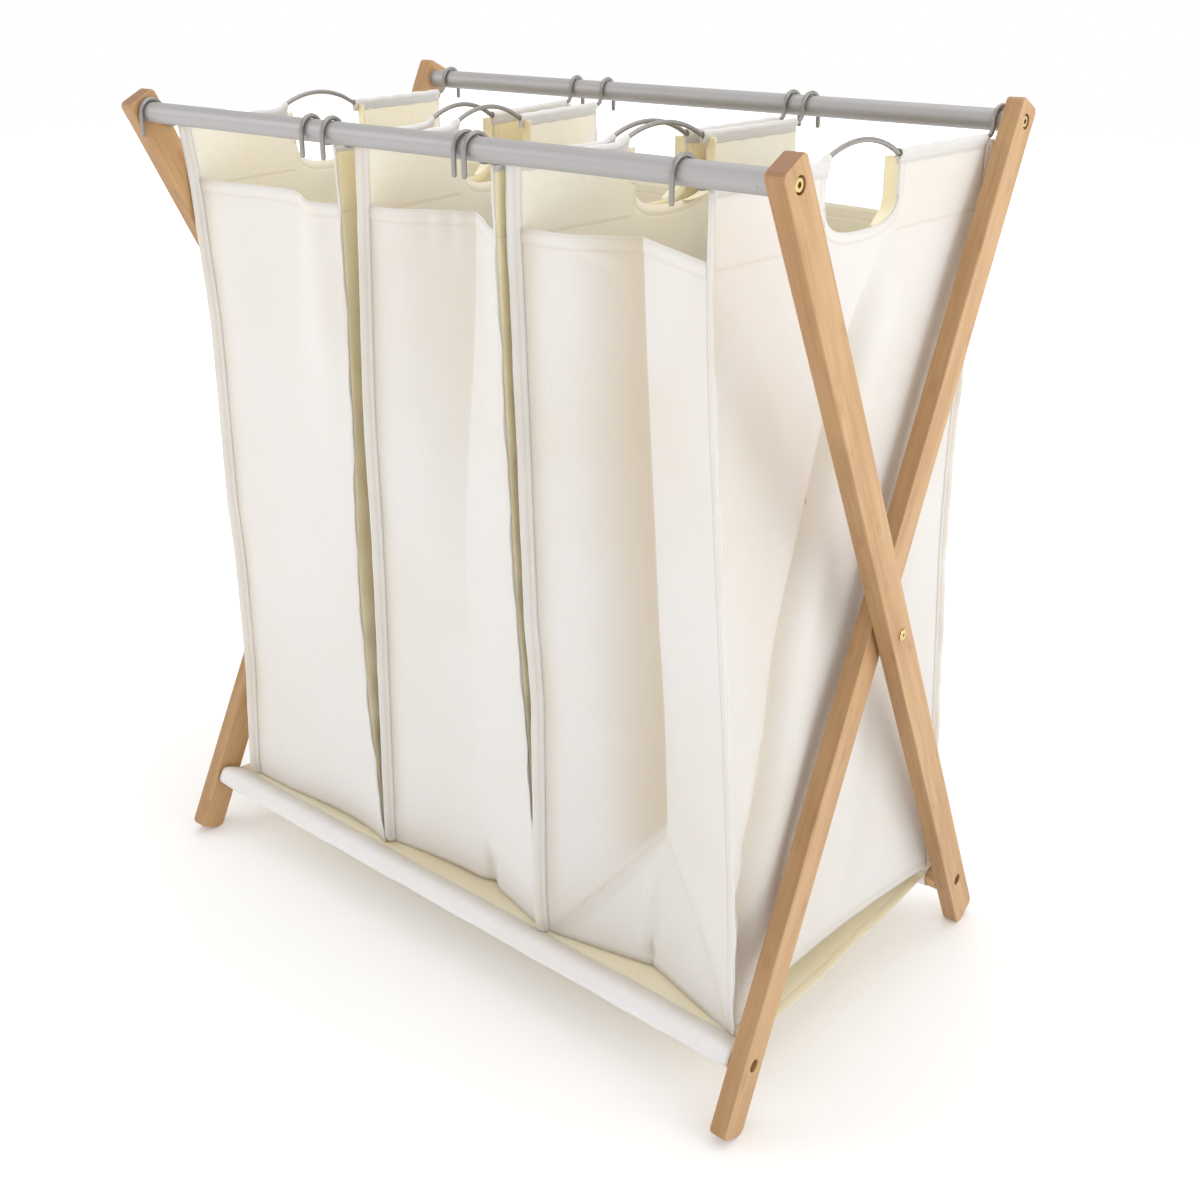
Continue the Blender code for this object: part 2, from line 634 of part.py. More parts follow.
def bag(name, spec, parent):
    """Open bag: outer skin, inner skin, and a rim that joins them."""
    columns = bag_columns()
    (left_f, left_r), (right_f, right_r) = spec["hangers"]
    slope_l = (left_r - left_f) / (2.0 * TUBE_Y)
    slope_r = (right_r - right_f) / (2.0 * TUBE_Y)
    half = CLOTH / 2.0
    floor_lf, floor_rf, floor_fy = spec["floor_front"]
    floor_lr, floor_rr, floor_ry = spec["floor_rear"]

    def corners(level):
        """Plan corners at one height: left and right x at front and rear."""
        up = min((level - BAG_FLOOR) / (BAG_MOUTH - BAG_FLOOR), 1.0)
        fy = blend(floor_fy, EAR_FRONT_Y, min(up * 2.0, 1.0))
        ry = rear_y(level, floor_ry) if level <= BAG_MOUTH else EAR_REAR_Y
        top_lf = left_f + slope_l * (fy + TUBE_Y) - half
        top_lr = left_f + slope_l * (ry + TUBE_Y) - half
        top_rf = right_f + slope_r * (fy + TUBE_Y) + half
        top_rr = right_f + slope_r * (ry + TUBE_Y) + half
        return (blend(floor_lf, top_lf, up), blend(floor_rf, top_rf, up),
                blend(floor_lr, top_lr, up), blend(floor_rr, top_rr, up), fy, ry)

    def place(column, level):
        panel, share, _ = column
        lf, rf, lr, rr, fy, ry = corners(level)
        if panel == "front":
            up = min((level - BAG_FLOOR) / (BAG_MOUTH - BAG_FLOOR), 1.0)
            top_bow, mid_bow = spec["front_bow"]
            if up > 0.2:
                bow = blend(mid_bow, top_bow, (up - 0.2) / 0.8)
            else:
                bow = blend(spec["floor_bow"], mid_bow, up / 0.2)
            fold = 1.0 - abs(2.0 * share - 1.0)
            return (blend(lf, rf, share), fy + bow * fold)
        if panel == "rear":
            return (blend(rr, lr, share), ry)
        if panel == "right":
            return (blend(rf, rr, share), blend(fy, ry, share))
        return (blend(lf, lr, share), blend(fy, ry, share))

    def inward(ring):
        """Plan offset of every station by one cloth wall, mitred."""
        moved = []
        for i, here in enumerate(ring):
            a = Vector(ring[i - 1])
            b = Vector(here)
            c = Vector(ring[(i + 1) % len(ring)])
            n1 = Vector((-(b - a).y, (b - a).x)).normalized()
            n2 = Vector((-(c - b).y, (c - b).x)).normalized()
            both = (n1 + n2) / (1.0 + n1.dot(n2))
            moved.append(tuple(b + both * CLOTH))
        return moved

    points = []
    outer = {}
    inner = {}

    def add(key, plan, inside, height, lift):
        outer[key] = len(points)
        points.append((*plan, height))
        inner[key] = len(points)
        points.append((*inside, height + lift))

    def is_side(column):
        return column[0] in ("left", "right")

    def ends_side(i):
        """True where a side panel's last edge meets the next panel's corner."""
        return is_side(columns[i]) or is_side(columns[i - 1])

    def ear_y(i):
        if columns[i][2] is not None:
            return columns[i][2]
        return EAR_REAR_Y if columns[i][0] == "rear" else EAR_FRONT_Y

    for row, level in enumerate(LEVELS):
        ring = [place(column, level) for column in columns]
        inside = inward(ring)
        for i in range(len(columns)):
            height = level
            if level == BAG_MOUTH and is_side(columns[i]):
                near = abs(ear_y(i)) <= HANDLE_HALF
                edge = ear_y(i) in (EAR_FRONT_Y, EAR_REAR_Y)
                height = BELOW_HANDLE if near else BAG_MOUTH if edge else 0.6900
            add((i, row), ring[i], inside[i], height, CLOTH if row == 0 else 0.0)
    shoulder = len(LEVELS)
    ring = [place(column, HANDLE_SHOULDER) for column in columns]
    inside = inward(ring)
    for i in range(len(columns)):
        if ends_side(i):
            height = HANDLE_CURVE.get(abs(ear_y(i)), HANDLE_SHOULDER)
            add((i, shoulder), ring[i], inside[i], height, 0.0)
            if abs(ear_y(i)) >= HANDLE_HALF:
                add((i, shoulder + 1), ring[i], inside[i], EAR_TOP, 0.0)

    skins = []
    count = len(columns)
    for row in range(len(LEVELS) + 1):
        for i in range(count):
            j = (i + 1) % count
            keys = [(i, row), (j, row), (j, row + 1), (i, row + 1)]
            present = all(key in outer for key in keys)
            along_side = is_side(columns[i])
            if present and (row < len(LEVELS) - 1 or along_side):
                skins.append(keys)
    skins.append([(i, 0) for i in reversed(range(count))])
    faces = []
    edges = {}
    for keys in skins:
        faces.append(tuple(outer[key] for key in keys))
        faces.append(tuple(inner[key] for key in reversed(keys)))
        for a, b in zip(keys, keys[1:] + keys[:1]):
            edges[(a, b)] = edges.get((a, b), 0) + 1
    for a, b in edges:
        if (b, a) not in edges:
            faces.append((outer[b], outer[a], inner[a], inner[b]))
    solid(name, points, faces, parent, (CANVAS, 0.9, 0.0), 25.0)


for bag_name, spec in BAGS.items():
    hook = empty("bag_" + bag_name + "_hook", (0.0, 0.0, TUBE_Z))
    left_wire, right_wire = spec["hangers"]
    hanger("hanger_" + bag_name + "_1", *left_wire, hook)
    hanger("hanger_" + bag_name + "_2", *right_wire, hook)
    bag("bag_" + bag_name, spec, hook)


def base_cloth():
    """Section of the two sleeves round the bottom bars and the sheet between."""
    front_hole = bar_outline(REAR_TOP, GAP, 0.0)
    sleeve = bar_outline(REAR_TOP, BASE_CLOTH + GAP, 0.0)
    # The sleeve's outline starts with the arc of its upper inner corner, and
    # the sheet leaves it between the start and the middle of that arc.
    middle = SLEEVE_ARC_STEPS // 2
    front_chain = sleeve[middle:] + [sleeve[0]]
    rear_chain = [(-y, z) for y, z in front_chain]
    root_y, root_z = front_chain[0]

    def sheet_z(y):
        return root_z - BASE_SAG * (1.0 - (y / root_y) ** 2)

    stations = [root_y * (1.0 - k / 4.0) for k in range(9)]
    upper = [(y, sheet_z(y)) for y in stations]
    lower = [(y, sheet_z(y) - BASE_CLOTH) for y in reversed(stations[1:-1])]
    outline = upper + rear_chain[1:] + lower + list(reversed(front_chain[1:]))
    rear_hole = [(-y, z) for y, z in reversed(front_hole)]
    return outline, front_hole, rear_hole


def sheared_sheet(name, outline, holes, parent, look):
    """Outline with holes, drawn out along X between two slanted ends."""
    points = []
    faces = []
    ends = []
    low_y = -TUBE_Y
    for side in (0, 1):
        loops = []
        for loop in [outline] + holes:
            loops.append(range(len(points), len(points) + len(loop)))
            for y, z in loop:
                share = (y - low_y) / (2.0 * TUBE_Y)
                x = blend(BASE_FRONT_X[side], BASE_REAR_X[side], share)
                points.append((x, y, z))
        ends.append(loops)
    for left, right in zip(*ends):
        for i in range(len(left)):
            j = (i + 1) % len(left)
            faces.append((left[i], left[j], right[j], right[i]))
    for loops in ends:
        order = [index for loop in loops for index in loop]
        flat = [[Vector((0.0, points[i][1], points[i][2])) for i in loop]
                for loop in loops]
        for triangle in tessellate_polygon(flat):
            faces.append(tuple(order[i] for i in triangle))
    solid(name, points, faces, parent, look, 30.0)


cloth_outline, front_hole, rear_hole = base_cloth()
sheared_sheet("base_cloth", cloth_outline, [front_hole, rear_hole], FRONT_FRAME,
              (BASE_CANVAS, 0.9, 0.0))
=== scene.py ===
import math

import bmesh
import bpy
import numpy as np
from mathutils import Matrix, Vector


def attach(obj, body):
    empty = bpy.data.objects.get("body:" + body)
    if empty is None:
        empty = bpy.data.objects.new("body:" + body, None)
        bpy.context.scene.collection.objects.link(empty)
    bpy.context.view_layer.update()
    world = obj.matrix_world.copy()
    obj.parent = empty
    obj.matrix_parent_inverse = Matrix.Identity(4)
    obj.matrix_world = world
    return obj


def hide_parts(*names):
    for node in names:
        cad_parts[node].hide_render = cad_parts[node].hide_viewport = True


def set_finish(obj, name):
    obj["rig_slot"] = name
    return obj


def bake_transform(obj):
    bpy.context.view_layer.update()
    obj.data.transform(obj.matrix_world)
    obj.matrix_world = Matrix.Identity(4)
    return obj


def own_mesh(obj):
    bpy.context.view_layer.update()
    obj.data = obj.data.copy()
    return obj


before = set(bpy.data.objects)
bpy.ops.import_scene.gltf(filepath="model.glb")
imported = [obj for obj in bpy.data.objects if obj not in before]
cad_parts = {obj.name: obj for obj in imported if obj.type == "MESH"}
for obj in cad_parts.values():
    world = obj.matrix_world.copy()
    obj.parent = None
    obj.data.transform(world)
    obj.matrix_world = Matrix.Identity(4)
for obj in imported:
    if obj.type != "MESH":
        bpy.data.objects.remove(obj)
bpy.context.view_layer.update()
print("frame loaded:", len(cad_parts), "parts")


def linear(r, g, b):
    # sRGB 0..255 to linear light
    out = []
    for value in (r, g, b):
        share = value / 255.0
        out.append(share / 12.92 if share <= 0.04045 else ((share + 0.055) / 1.055) ** 2.4)
    return (*out, 1.0)


class Look:
    # a node tree that is written from left to right
    def __init__(self, name):
        self.material = bpy.data.materials.new(name)
        self.material.use_nodes = True
        self.tree = self.material.node_tree
        self.shader = self.tree.nodes["Principled BSDF"]

    def add(self, kind, inputs=None, **settings):
        # one node, its settings, and a value or a link for each named socket
        node = self.tree.nodes.new(kind)
        for key, value in settings.items():
            setattr(node, key, value)
        for key, value in (inputs or {}).items():
            self.give(node.inputs[key], value)
        return node

    def give(self, socket, value):
        # a socket as value is linked, anything else is set
        if isinstance(value, bpy.types.NodeSocket):
            self.tree.links.new(value, socket)
        else:
            socket.default_value = value

    def sum(self, operation, a, b=0.0, c=0.0, clamp=False):
        # one step of arithmetic on a, b and c
        return self.add("ShaderNodeMath", {0: a, 1: b, 2: c}, operation=operation,
                        use_clamp=clamp).outputs[0]

    def band(self, value, low, high):
        # 0 below low, 1 above high, soft between
        return self.add("ShaderNodeMapRange", {"Value": value, "From Min": low, "From Max": high},
                        interpolation_type="SMOOTHSTEP").outputs[0]

    def mix(self, share, a, b, how="MIX"):
        # color a where share is 0, b where it is 1
        node = self.add("ShaderNodeMix", data_type="RGBA", blend_type=how)
        self.give(node.inputs[0], share)
        self.give(node.inputs[6], a)
        self.give(node.inputs[7], b)
        return node.outputs[2]

    def noise(self, vector, scale, detail=3.0, roughness=0.55):
        # soft random pattern of 0 to 1
        return self.add("ShaderNodeTexNoise", {"Vector": vector, "Scale": scale, "Detail": detail,
                                               "Roughness": roughness}).outputs["Fac"]

    def place(self, turn=(0.0, 0.0, 0.0), stretch=(1.0, 1.0, 1.0), shift=(0.0, 0.0, 0.0)):
        # object coordinates, stretched, turned and then shifted
        spot = self.add("ShaderNodeTexCoord").outputs["Object"]
        return self.add("ShaderNodeMapping", {"Vector": spot, "Rotation": turn, "Scale": stretch,
                                              "Location": shift}).outputs[0]

    def split(self, vector):
        # x, y and z of a vector
        return self.add("ShaderNodeSeparateXYZ", {0: vector}).outputs

    def finish(self, color, roughness, height=None, distance=0.001, strength=1.0):
        # color, roughness and relief go to the shader
        self.give(self.shader.inputs["Base Color"], color)
        self.give(self.shader.inputs["Roughness"], roughness)
        if height is not None:
            relief = self.add("ShaderNodeBump", {"Height": height, "Distance": distance,
                                                 "Strength": strength})
            self.give(self.shader.inputs["Normal"], relief.outputs[0])
        return self.material


def gridFaces(rows, columns, closed=False):
    # quads between neighbours of a rows x columns grid, wound along the columns
    across = columns if closed else columns - 1
    r, c = np.meshgrid(np.arange(rows - 1), np.arange(across), indexing="ij")
    nextC = (c + 1) % columns
    quads = np.stack([r * columns + c, r * columns + nextC,
                      (r + 1) * columns + nextC, (r + 1) * columns + c], axis=-1)
    return quads.reshape(-1, 4)


def newPiece(name, points, quads, uvs=None, extraFaces=()):
    # mesh from whole arrays; uvs is {layer: one pair for each point}
    mesh = bpy.data.meshes.new(name)
    faces = [tuple(q) for q in quads.tolist()] + [tuple(f) for f in extraFaces]
    mesh.from_pydata(points.reshape(-1, 3), [], faces)
    mesh.validate()
    corner = np.zeros(len(mesh.loops), np.int32)
    mesh.loops.foreach_get("vertex_index", corner)
    for layer, pairs in (uvs or {}).items():
        uv = mesh.uv_layers.new(name=layer)
        uv.data.foreach_set("uv", pairs[corner].astype(np.float32).ravel())
    mesh.shade_smooth()
    obj = bpy.data.objects.new(name, mesh)
    bpy.context.scene.collection.objects.link(obj)
    return obj


def dress(obj, *materials):
    # clearing the materials also zeroes each face's number, so the numbers are put back
    numbers = np.zeros(len(obj.data.polygons), np.int32)
    obj.data.polygons.foreach_get("material_index", numbers)
    obj.data.materials.clear()
    for material in materials:
        obj.data.materials.append(material)
    obj.data.polygons.foreach_set("material_index", np.minimum(numbers, len(materials) - 1))


def repair(obj, merge=0.0, turn=False):
    # points nearer than merge become one; turn makes all faces of a closed form point outwards
    form = bmesh.new()
    form.from_mesh(obj.data)
    if merge:
        bmesh.ops.remove_doubles(form, verts=form.verts, dist=merge)
    if turn:
        bmesh.ops.recalc_face_normals(form, faces=form.faces)
    form.to_mesh(obj.data)
    form.free()


def smooth(share):
    # smooth step from 0 to 1
    t = np.clip(share, 0.0, 1.0)
    return t * t * (3.0 - 2.0 * t)


def bump(value, middle, width):
    # bell curve of height 1
    return np.exp(-((value - middle) / width) ** 2)


frameShape = {"tubeY": 0.1907, "tubeZ": 0.7587, "barY": 0.1624, "barZ": 0.0576}

bambooLook = {
    "light": linear(206, 167, 121),
    "dark": linear(192, 150, 103),
    "streak": linear(158, 113, 71),
    "endCut": linear(150, 108, 78),
    # darkens leg faces turned away from x: edge grain and painted shade
    "edgeGrainAndShade": (0.77, 0.73, 0.69, 1.0),
    "legTurn": math.atan2(frameShape["tubeY"] + frameShape["barY"],
                          frameShape["tubeZ"] - frameShape["barZ"]),
}


def bamboo(name, turn, lengthAxis, seed):
    # fine noise stretched along the length, over glued strips of unequal tone
    look = Look(name)
    long = [1.0, 1.0, 1.0]
    fibre = [430.0, 430.0, 430.0]
    long["xyz".index(lengthAxis)] = 0.10
    fibre["xyz".index(lengthAxis)] = 16.0
    spot = look.place(turn=turn, shift=(seed * 0.37, seed * 0.71, seed * 0.53))
    axes = look.split(spot)
    across = [axes[i] for i in range(3) if "xyz"[i] != lengthAxis]
    # glued strips about 6 mm wide, each with its own tone
    strips = [look.sum("FLOOR", look.sum("MULTIPLY", axis, 165.0)) for axis in across]
    cell = look.add("ShaderNodeCombineXYZ", {0: strips[0], 1: strips[1], 2: seed}).outputs[0]
    tone = look.add("ShaderNodeTexWhiteNoise", {"Vector": cell},
                    noise_dimensions="3D").outputs["Value"]
    fibres = look.noise(look.add("ShaderNodeVectorMath", {0: spot, 1: fibre},
                                 operation="MULTIPLY").outputs[0], 1.0, 4.0, 0.6)
    broad = look.noise(look.add("ShaderNodeVectorMath", {0: spot, 1: [60 * v for v in long]},
                                operation="MULTIPLY").outputs[0], 1.0, 2.0)
    mottle = look.noise(spot, 26.0, 3.0)
    # growth nodes: short dark blurs, at another height in every strip
    along = axes["xyz".index(lengthAxis)]
    phase = look.sum("FRACT", look.sum("ADD", look.sum("MULTIPLY", along, 2.1), tone))
    nodeBand = look.sum("SUBTRACT", 1.0, look.band(
        look.sum("ABSOLUTE", look.sum("SUBTRACT", phase, 0.5)), 0.004, 0.022))
    color = look.mix(look.band(broad, 0.3, 0.72), bambooLook["light"], bambooLook["dark"])
    color = look.mix(look.sum("MULTIPLY", look.band(fibres, 0.42, 0.74), 0.34), color,
                     bambooLook["streak"])
    color = look.mix(look.sum("MULTIPLY", look.sum("SUBTRACT", tone, 0.35), 0.20, clamp=True),
                     color, bambooLook["dark"])
    color = look.mix(look.sum("MULTIPLY", nodeBand, 0.26), color, bambooLook["streak"])
    color = look.mix(look.sum("MULTIPLY", look.band(mottle, 0.5, 0.8), 0.16), color,
                     bambooLook["endCut"])
    normal = look.add("ShaderNodeNewGeometry").outputs["Normal"]
    if lengthAxis == "z":
        # faces turned away from x are darker: partly the darker edges of the glued strips, partly
        # painted shade where less light falls
        sideways = look.sum("ABSOLUTE", look.split(normal)[0])
        color = look.mix(look.sum("SUBTRACT", 1.0, look.band(sideways, 0.2, 0.8)), color,
                         bambooLook["edgeGrainAndShade"], "MULTIPLY")
    # cut ends across the fibres are browner
    direction = Vector([1.0 if axis == lengthAxis else 0.0 for axis in "xyz"])
    direction.rotate(Matrix.Rotation(-turn[0], 3, "X"))
    facing = look.sum("ABSOLUTE", look.add(
        "ShaderNodeVectorMath", {0: normal, 1: tuple(direction)},
        operation="DOT_PRODUCT").outputs["Value"])
    color = look.mix(look.sum("MULTIPLY", look.band(facing, 0.62, 0.95), 0.8), color,
                     bambooLook["endCut"])
    height = look.sum("ADD", look.sum("MULTIPLY", fibres, 0.7), look.sum("MULTIPLY", broad, 0.3))
    roughness = look.sum("ADD", 0.40, look.sum("MULTIPLY", fibres, 0.22))
    return look.finish(color, roughness, height, 0.00025, 0.6)


def metal(name, color, roughness, spread, metallic, grain, distance=0.00005):
    # metal with fine streaks: grain is the pattern's scale along x, y and z
    look = Look(name)
    streaks = look.noise(look.place(stretch=grain), 1.0, 4.0, 0.6)
    cloud = look.noise(look.place(), 30.0, 2.0)
    dark = tuple(c * 0.82 for c in color[:3]) + (1.0,)
    tint = look.mix(look.sum("MULTIPLY", streaks, 0.5), color, dark)
    tint = look.mix(look.sum("MULTIPLY", look.band(cloud, 0.5, 0.8), 0.25), tint, dark)
    rough = look.sum("ADD", roughness - spread / 2.0, look.sum("MULTIPLY", streaks, spread))
    look.shader.inputs["Metallic"].default_value = metallic
    return look.finish(tint, rough, streaks, distance, 0.5)


canvasLook = {
    "light": linear(233, 230, 227),
    "shade": linear(229, 224, 217),
    # painted bounce light: the inside is a warmer, lighter copy of the same cloth
    "inside": linear(252, 245, 230),
    "insideShade": linear(250, 240, 218),
    # painted shade: the beige of shaded creases and folds
    "foldPaintedShade": linear(206, 188, 158),
    # painted warm shade: a yellower copy of the cloth for faces in the gaps between bags
    "between": linear(253, 240, 206),
    "betweenShade": linear(251, 234, 193),
    "thread": linear(222, 213, 196),
    "soak": 0.35,                 # share of the light that sinks into the cloth
    "soakDepth": 0.004,
    "weavePitch": 0.00075,        # metres from thread to thread
    "stitchLength": 0.0032,
    "stitchWidth": 0.0005,
}


def canvas(name, base, shade, seed):
    # plain weave: the product of one sine across and one along the cloth
    look = Look(name)
    weaveUv = look.add("ShaderNodeUVMap", uv_map="weave").outputs[0]
    seamUv = look.add("ShaderNodeUVMap", uv_map="stitch").outputs[0]
    turns = 2.0 * math.pi / canvasLook["weavePitch"]
    u, v, _ = look.split(weaveUv)
    wave = [look.sum("SINE", look.sum("MULTIPLY", axis, turns)) for axis in (u, v)]
    weave = look.sum("MULTIPLY", wave[0], wave[1])
    spot = look.place(shift=(seed, seed * 0.6, seed * 1.7))
    threads = look.noise(look.add("ShaderNodeVectorMath", {0: weaveUv, 1: (900.0, 60.0, 1.0)},
                                  operation="MULTIPLY").outputs[0], 1.0, 2.0)
    cloud = look.noise(spot, 5.0, 3.0)
    crumple = look.noise(spot, 34.0, 3.0, 0.5)
    color = look.mix(look.band(cloud, 0.35, 0.7), base, shade)
    color = look.mix(look.sum("MULTIPLY", look.band(threads, 0.45, 0.8), 0.18), color,
                     canvasLook["thread"])
    # painted shade: the fold uv's first value mixes in the beige of shaded creases and folds
    shadeShareUv = look.add("ShaderNodeUVMap", uv_map="fold").outputs[0]
    color = look.mix(look.split(shadeShareUv)[0], color, canvasLook["foldPaintedShade"])
    # dashed thread and its pressed groove along the seam line
    away, along, _ = look.split(seamUv)
    distance = look.sum("ABSOLUTE", away)
    width = canvasLook["stitchWidth"]
    line = look.sum("SUBTRACT", 1.0, look.band(distance, width * 0.5, width * 1.3))
    dash = look.band(look.sum("SINE", look.sum("MULTIPLY", along, 2.0 * math.pi
                                               / canvasLook["stitchLength"])), -0.7, -0.2)
    groove = look.sum("SUBTRACT", 1.0, look.band(distance, width, width * 4.0))
    # painted shade: the pressed groove is tinted tan as well as given its real relief
    color = look.mix(look.sum("MULTIPLY", groove, 0.12), color, linear(196, 182, 158))
    color = look.mix(look.sum("MULTIPLY", line, look.sum("MULTIPLY", dash, 0.35)), color,
                     canvasLook["thread"])
    height = look.sum("ADD", look.sum("MULTIPLY", weave, 0.06),
                      look.sum("MULTIPLY", crumple, 0.55))
    height = look.sum("ADD", height, look.sum("MULTIPLY", threads, 0.08))
    height = look.sum("SUBTRACT", height, look.sum("MULTIPLY", groove, 0.35))
    height = look.sum("ADD", height, look.sum("MULTIPLY", look.sum("MULTIPLY", line, dash), 0.3))
    look.shader.inputs["Subsurface Weight"].default_value = canvasLook["soak"]
    look.shader.inputs["Subsurface Radius"].default_value = (1.0, 0.78, 0.48)
    look.shader.inputs["Subsurface Scale"].default_value = canvasLook["soakDepth"]
    look.shader.inputs["Sheen Weight"].default_value = 0.25
    look.shader.inputs["Sheen Roughness"].default_value = 0.6
    look.shader.inputs["Specular IOR Level"].default_value = 0.25
    return look.finish(color, 0.88, height, 0.0016, 0.55)


bambooRise = bamboo("bambooFrontTop", (-bambooLook["legTurn"], 0.0, 0.0), "z", 1.0)
bambooFall = bamboo("bambooRearTop", (bambooLook["legTurn"], 0.0, 0.0), "z", 2.0)
bambooBarRear = bamboo("bambooBarRear", (-bambooLook["legTurn"], 0.0, 0.0), "x", 3.0)
bambooBarFront = bamboo("bambooBarFront", (bambooLook["legTurn"], 0.0, 0.0), "x", 4.0)
tubeMetal = metal("tubeSatin", linear(178, 176, 176), 0.50, 0.08, 0.45, (6.0, 900.0, 900.0))
wireMetal = metal("wireSteel", linear(160, 157, 153), 0.36, 0.12, 0.70, (300.0, 60.0, 300.0))
brass = metal("brassPale", linear(222, 200, 140), 0.24, 0.12, 1.0, (500.0, 500.0, 500.0))
nutSteel = metal("nutBlackened", linear(58, 52, 48), 0.38, 0.12, 0.8, (400.0, 400.0, 400.0))
nylon = metal("nylonDark", linear(46, 44, 44), 0.5, 0.14, 0.0, (300.0, 300.0, 300.0))
canvasOut = canvas("canvasOutside", canvasLook["light"], canvasLook["shade"], 0.3)
# copy of the cloth with painted warm bounce light, for the bag's inside
canvasIn = canvas("canvasInsideBounceLight", canvasLook["inside"], canvasLook["insideShade"], 0.9)
canvasGapWarmShade = canvas("canvasGapWarmShade", canvasLook["between"], canvasLook["betweenShade"], 2.3)
# one cloth in two copies: the sleeves' lighter copy is painted light, the sheet's beige copy painted
# shade
canvasSleeveLit = canvas("canvasSleeveLit", linear(246, 242, 238), linear(242, 236, 229), 1.4)
canvasBaseShaded = canvas("canvasBaseShaded", linear(240, 228, 200), linear(235, 221, 190), 1.9)
print("materials made")

keptFinish = {
    "leg_right_outer": (bambooRise, "bamboo"), "leg_left_inner": (bambooRise, "bamboo"),
    "leg_right_inner": (bambooFall, "bamboo"), "leg_left_outer": (bambooFall, "bamboo"),
    "bar_rear": (bambooBarRear, "bamboo"), "bar_front": (bambooBarFront, "bamboo"),
    "tube_front": (tubeMetal, "tube_metal"), "tube_rear": (tubeMetal, "tube_metal"),
    "pivot_nut": (nutSteel, "dark_nut"), "pivot_washer": (nylon, "dark_nylon"),
    "pivot_bolt": (brass, "brass_fastener"), "bolt_top": (brass, "brass_fastener"),
    "screw_foot": (brass, "brass_fastener"), "plug": (nylon, "dark_nylon"),
}
for nodeName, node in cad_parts.items():
    for start, (finish, slotName) in keptFinish.items():
        if nodeName.startswith(start):
            dress(node, finish)
            node["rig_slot"] = slotName
print("frame parts dressed")

wireValues = {
    "radius": 0.0020, "sides": 16, "spacing": 0.0016,
    "tubeY": frameShape["tubeY"], "tubeZ": frameShape["tubeZ"],
    "hookRadius": 0.0113, "hookDrop": 0.0202,
    "hookBend": 0.0070, "hemZ": 0.7465, "archRadius": 0.0882, "archRise": 0.0142,
    "archBend": 0.0060, "cutShare": 0.72,
}
w = wireValues


def arcPoints(center, radius, start, end, steps):
    # center plus radius times (cosine, sine) of even angles in degrees
    angles = np.radians(np.linspace(start, end, steps + 1))
    return np.stack([center[0] + radius * np.cos(angles), center[1] + radius * np.sin(angles)], 1)


def hangerPath():
    # hook round the front tube, quarter bend, straight hem run, handle arch; then mirrored in y
    bendY = -w["tubeY"] + w["hookRadius"] + w["hookBend"]
    centerZ = w["hemZ"] + w["archRise"] - w["archRadius"]
    reach = w["archRadius"] + w["archBend"]
    bendZ = w["hemZ"] + w["archBend"]
    footY = -math.sqrt(reach ** 2 - (bendZ - centerZ) ** 2)
    lean = math.degrees(math.atan2(bendZ - centerZ, -footY))
    half = np.concatenate([
        [[-w["tubeY"] - w["hookRadius"], w["tubeZ"] - w["hookDrop"]]],
        arcPoints((-w["tubeY"], w["tubeZ"]), w["hookRadius"], 180.0, 0.0, 22),
        arcPoints((bendY, w["hemZ"] + w["hookBend"]), w["hookBend"], 180.0, 270.0, 10),
        arcPoints((footY, bendZ), w["archBend"], 270.0, 360.0 - lean, 6),
        arcPoints((0.0, centerZ), w["archRadius"], 180.0 - lean, 90.0, 18)[1:]])
    return np.concatenate([half, half[-2::-1] * [-1.0, 1.0]])


def wireRise(y):
    # height of the wire over its hem run, where the handle arch begins
    path = hangerPath()
    inside = np.abs(path[:, 0]) < 0.1
    return np.interp(y, path[inside, 0], path[inside, 1]) - w["hemZ"]


def sweepRound(path, radii, sides, sideways):
    # circles of the given radii, carried along the path, square to it
    ahead = np.gradient(path, axis=0)
    ahead /= np.linalg.norm(ahead, axis=1)[:, None]
    up = np.cross(ahead, sideways)
    angles = np.linspace(0.0, 2.0 * math.pi, sides, endpoint=False)
    ring = (sideways[None, None] * np.cos(angles)[None, :, None]
            + up[:, None] * np.sin(angles)[None, :, None])
    return path[:, None] + ring * radii[:, None, None]


def makeHanger(name, overFront, overRear, body):
    # the flat path leans from its x over the front tube to its x over the rear one
    slope = (overRear - overFront) / (2.0 * w["tubeY"])
    flat = hangerPath()
    # even spacing along the wire
    length = np.concatenate([[0.0], np.cumsum(np.linalg.norm(np.diff(flat, axis=0), axis=1))])
    even = np.linspace(0.0, length[-1], int(length[-1] / w["spacing"]))
    flat = np.stack([np.interp(even, length, flat[:, i]) for i in (0, 1)], 1)
    path = np.stack([(overFront + overRear) / 2.0 + slope * flat[:, 0], flat[:, 0], flat[:, 1]], 1)
    sideways = np.array([1.0, -slope, 0.0]) / math.hypot(1.0, slope)
    # cut ends are chamfered and then capped
    radii = np.full(len(path), w["radius"])
    radii[[0, -1]] = w["radius"] * w["cutShare"]
    points = sweepRound(path, radii, w["sides"], sideways)
    rings = len(path)
    caps = [list(range(w["sides"]))[::-1],
            list(range((rings - 1) * w["sides"], rings * w["sides"]))]
    grid = gridFaces(rings, w["sides"], closed=True)[:, ::-1]
    obj = newPiece(name, points, grid, extraFaces=[c[::-1] for c in caps])
    repair(obj, turn=True)
    dress(obj, wireMetal)
    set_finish(obj, "hanger_wire")
    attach(obj, body)
    return obj


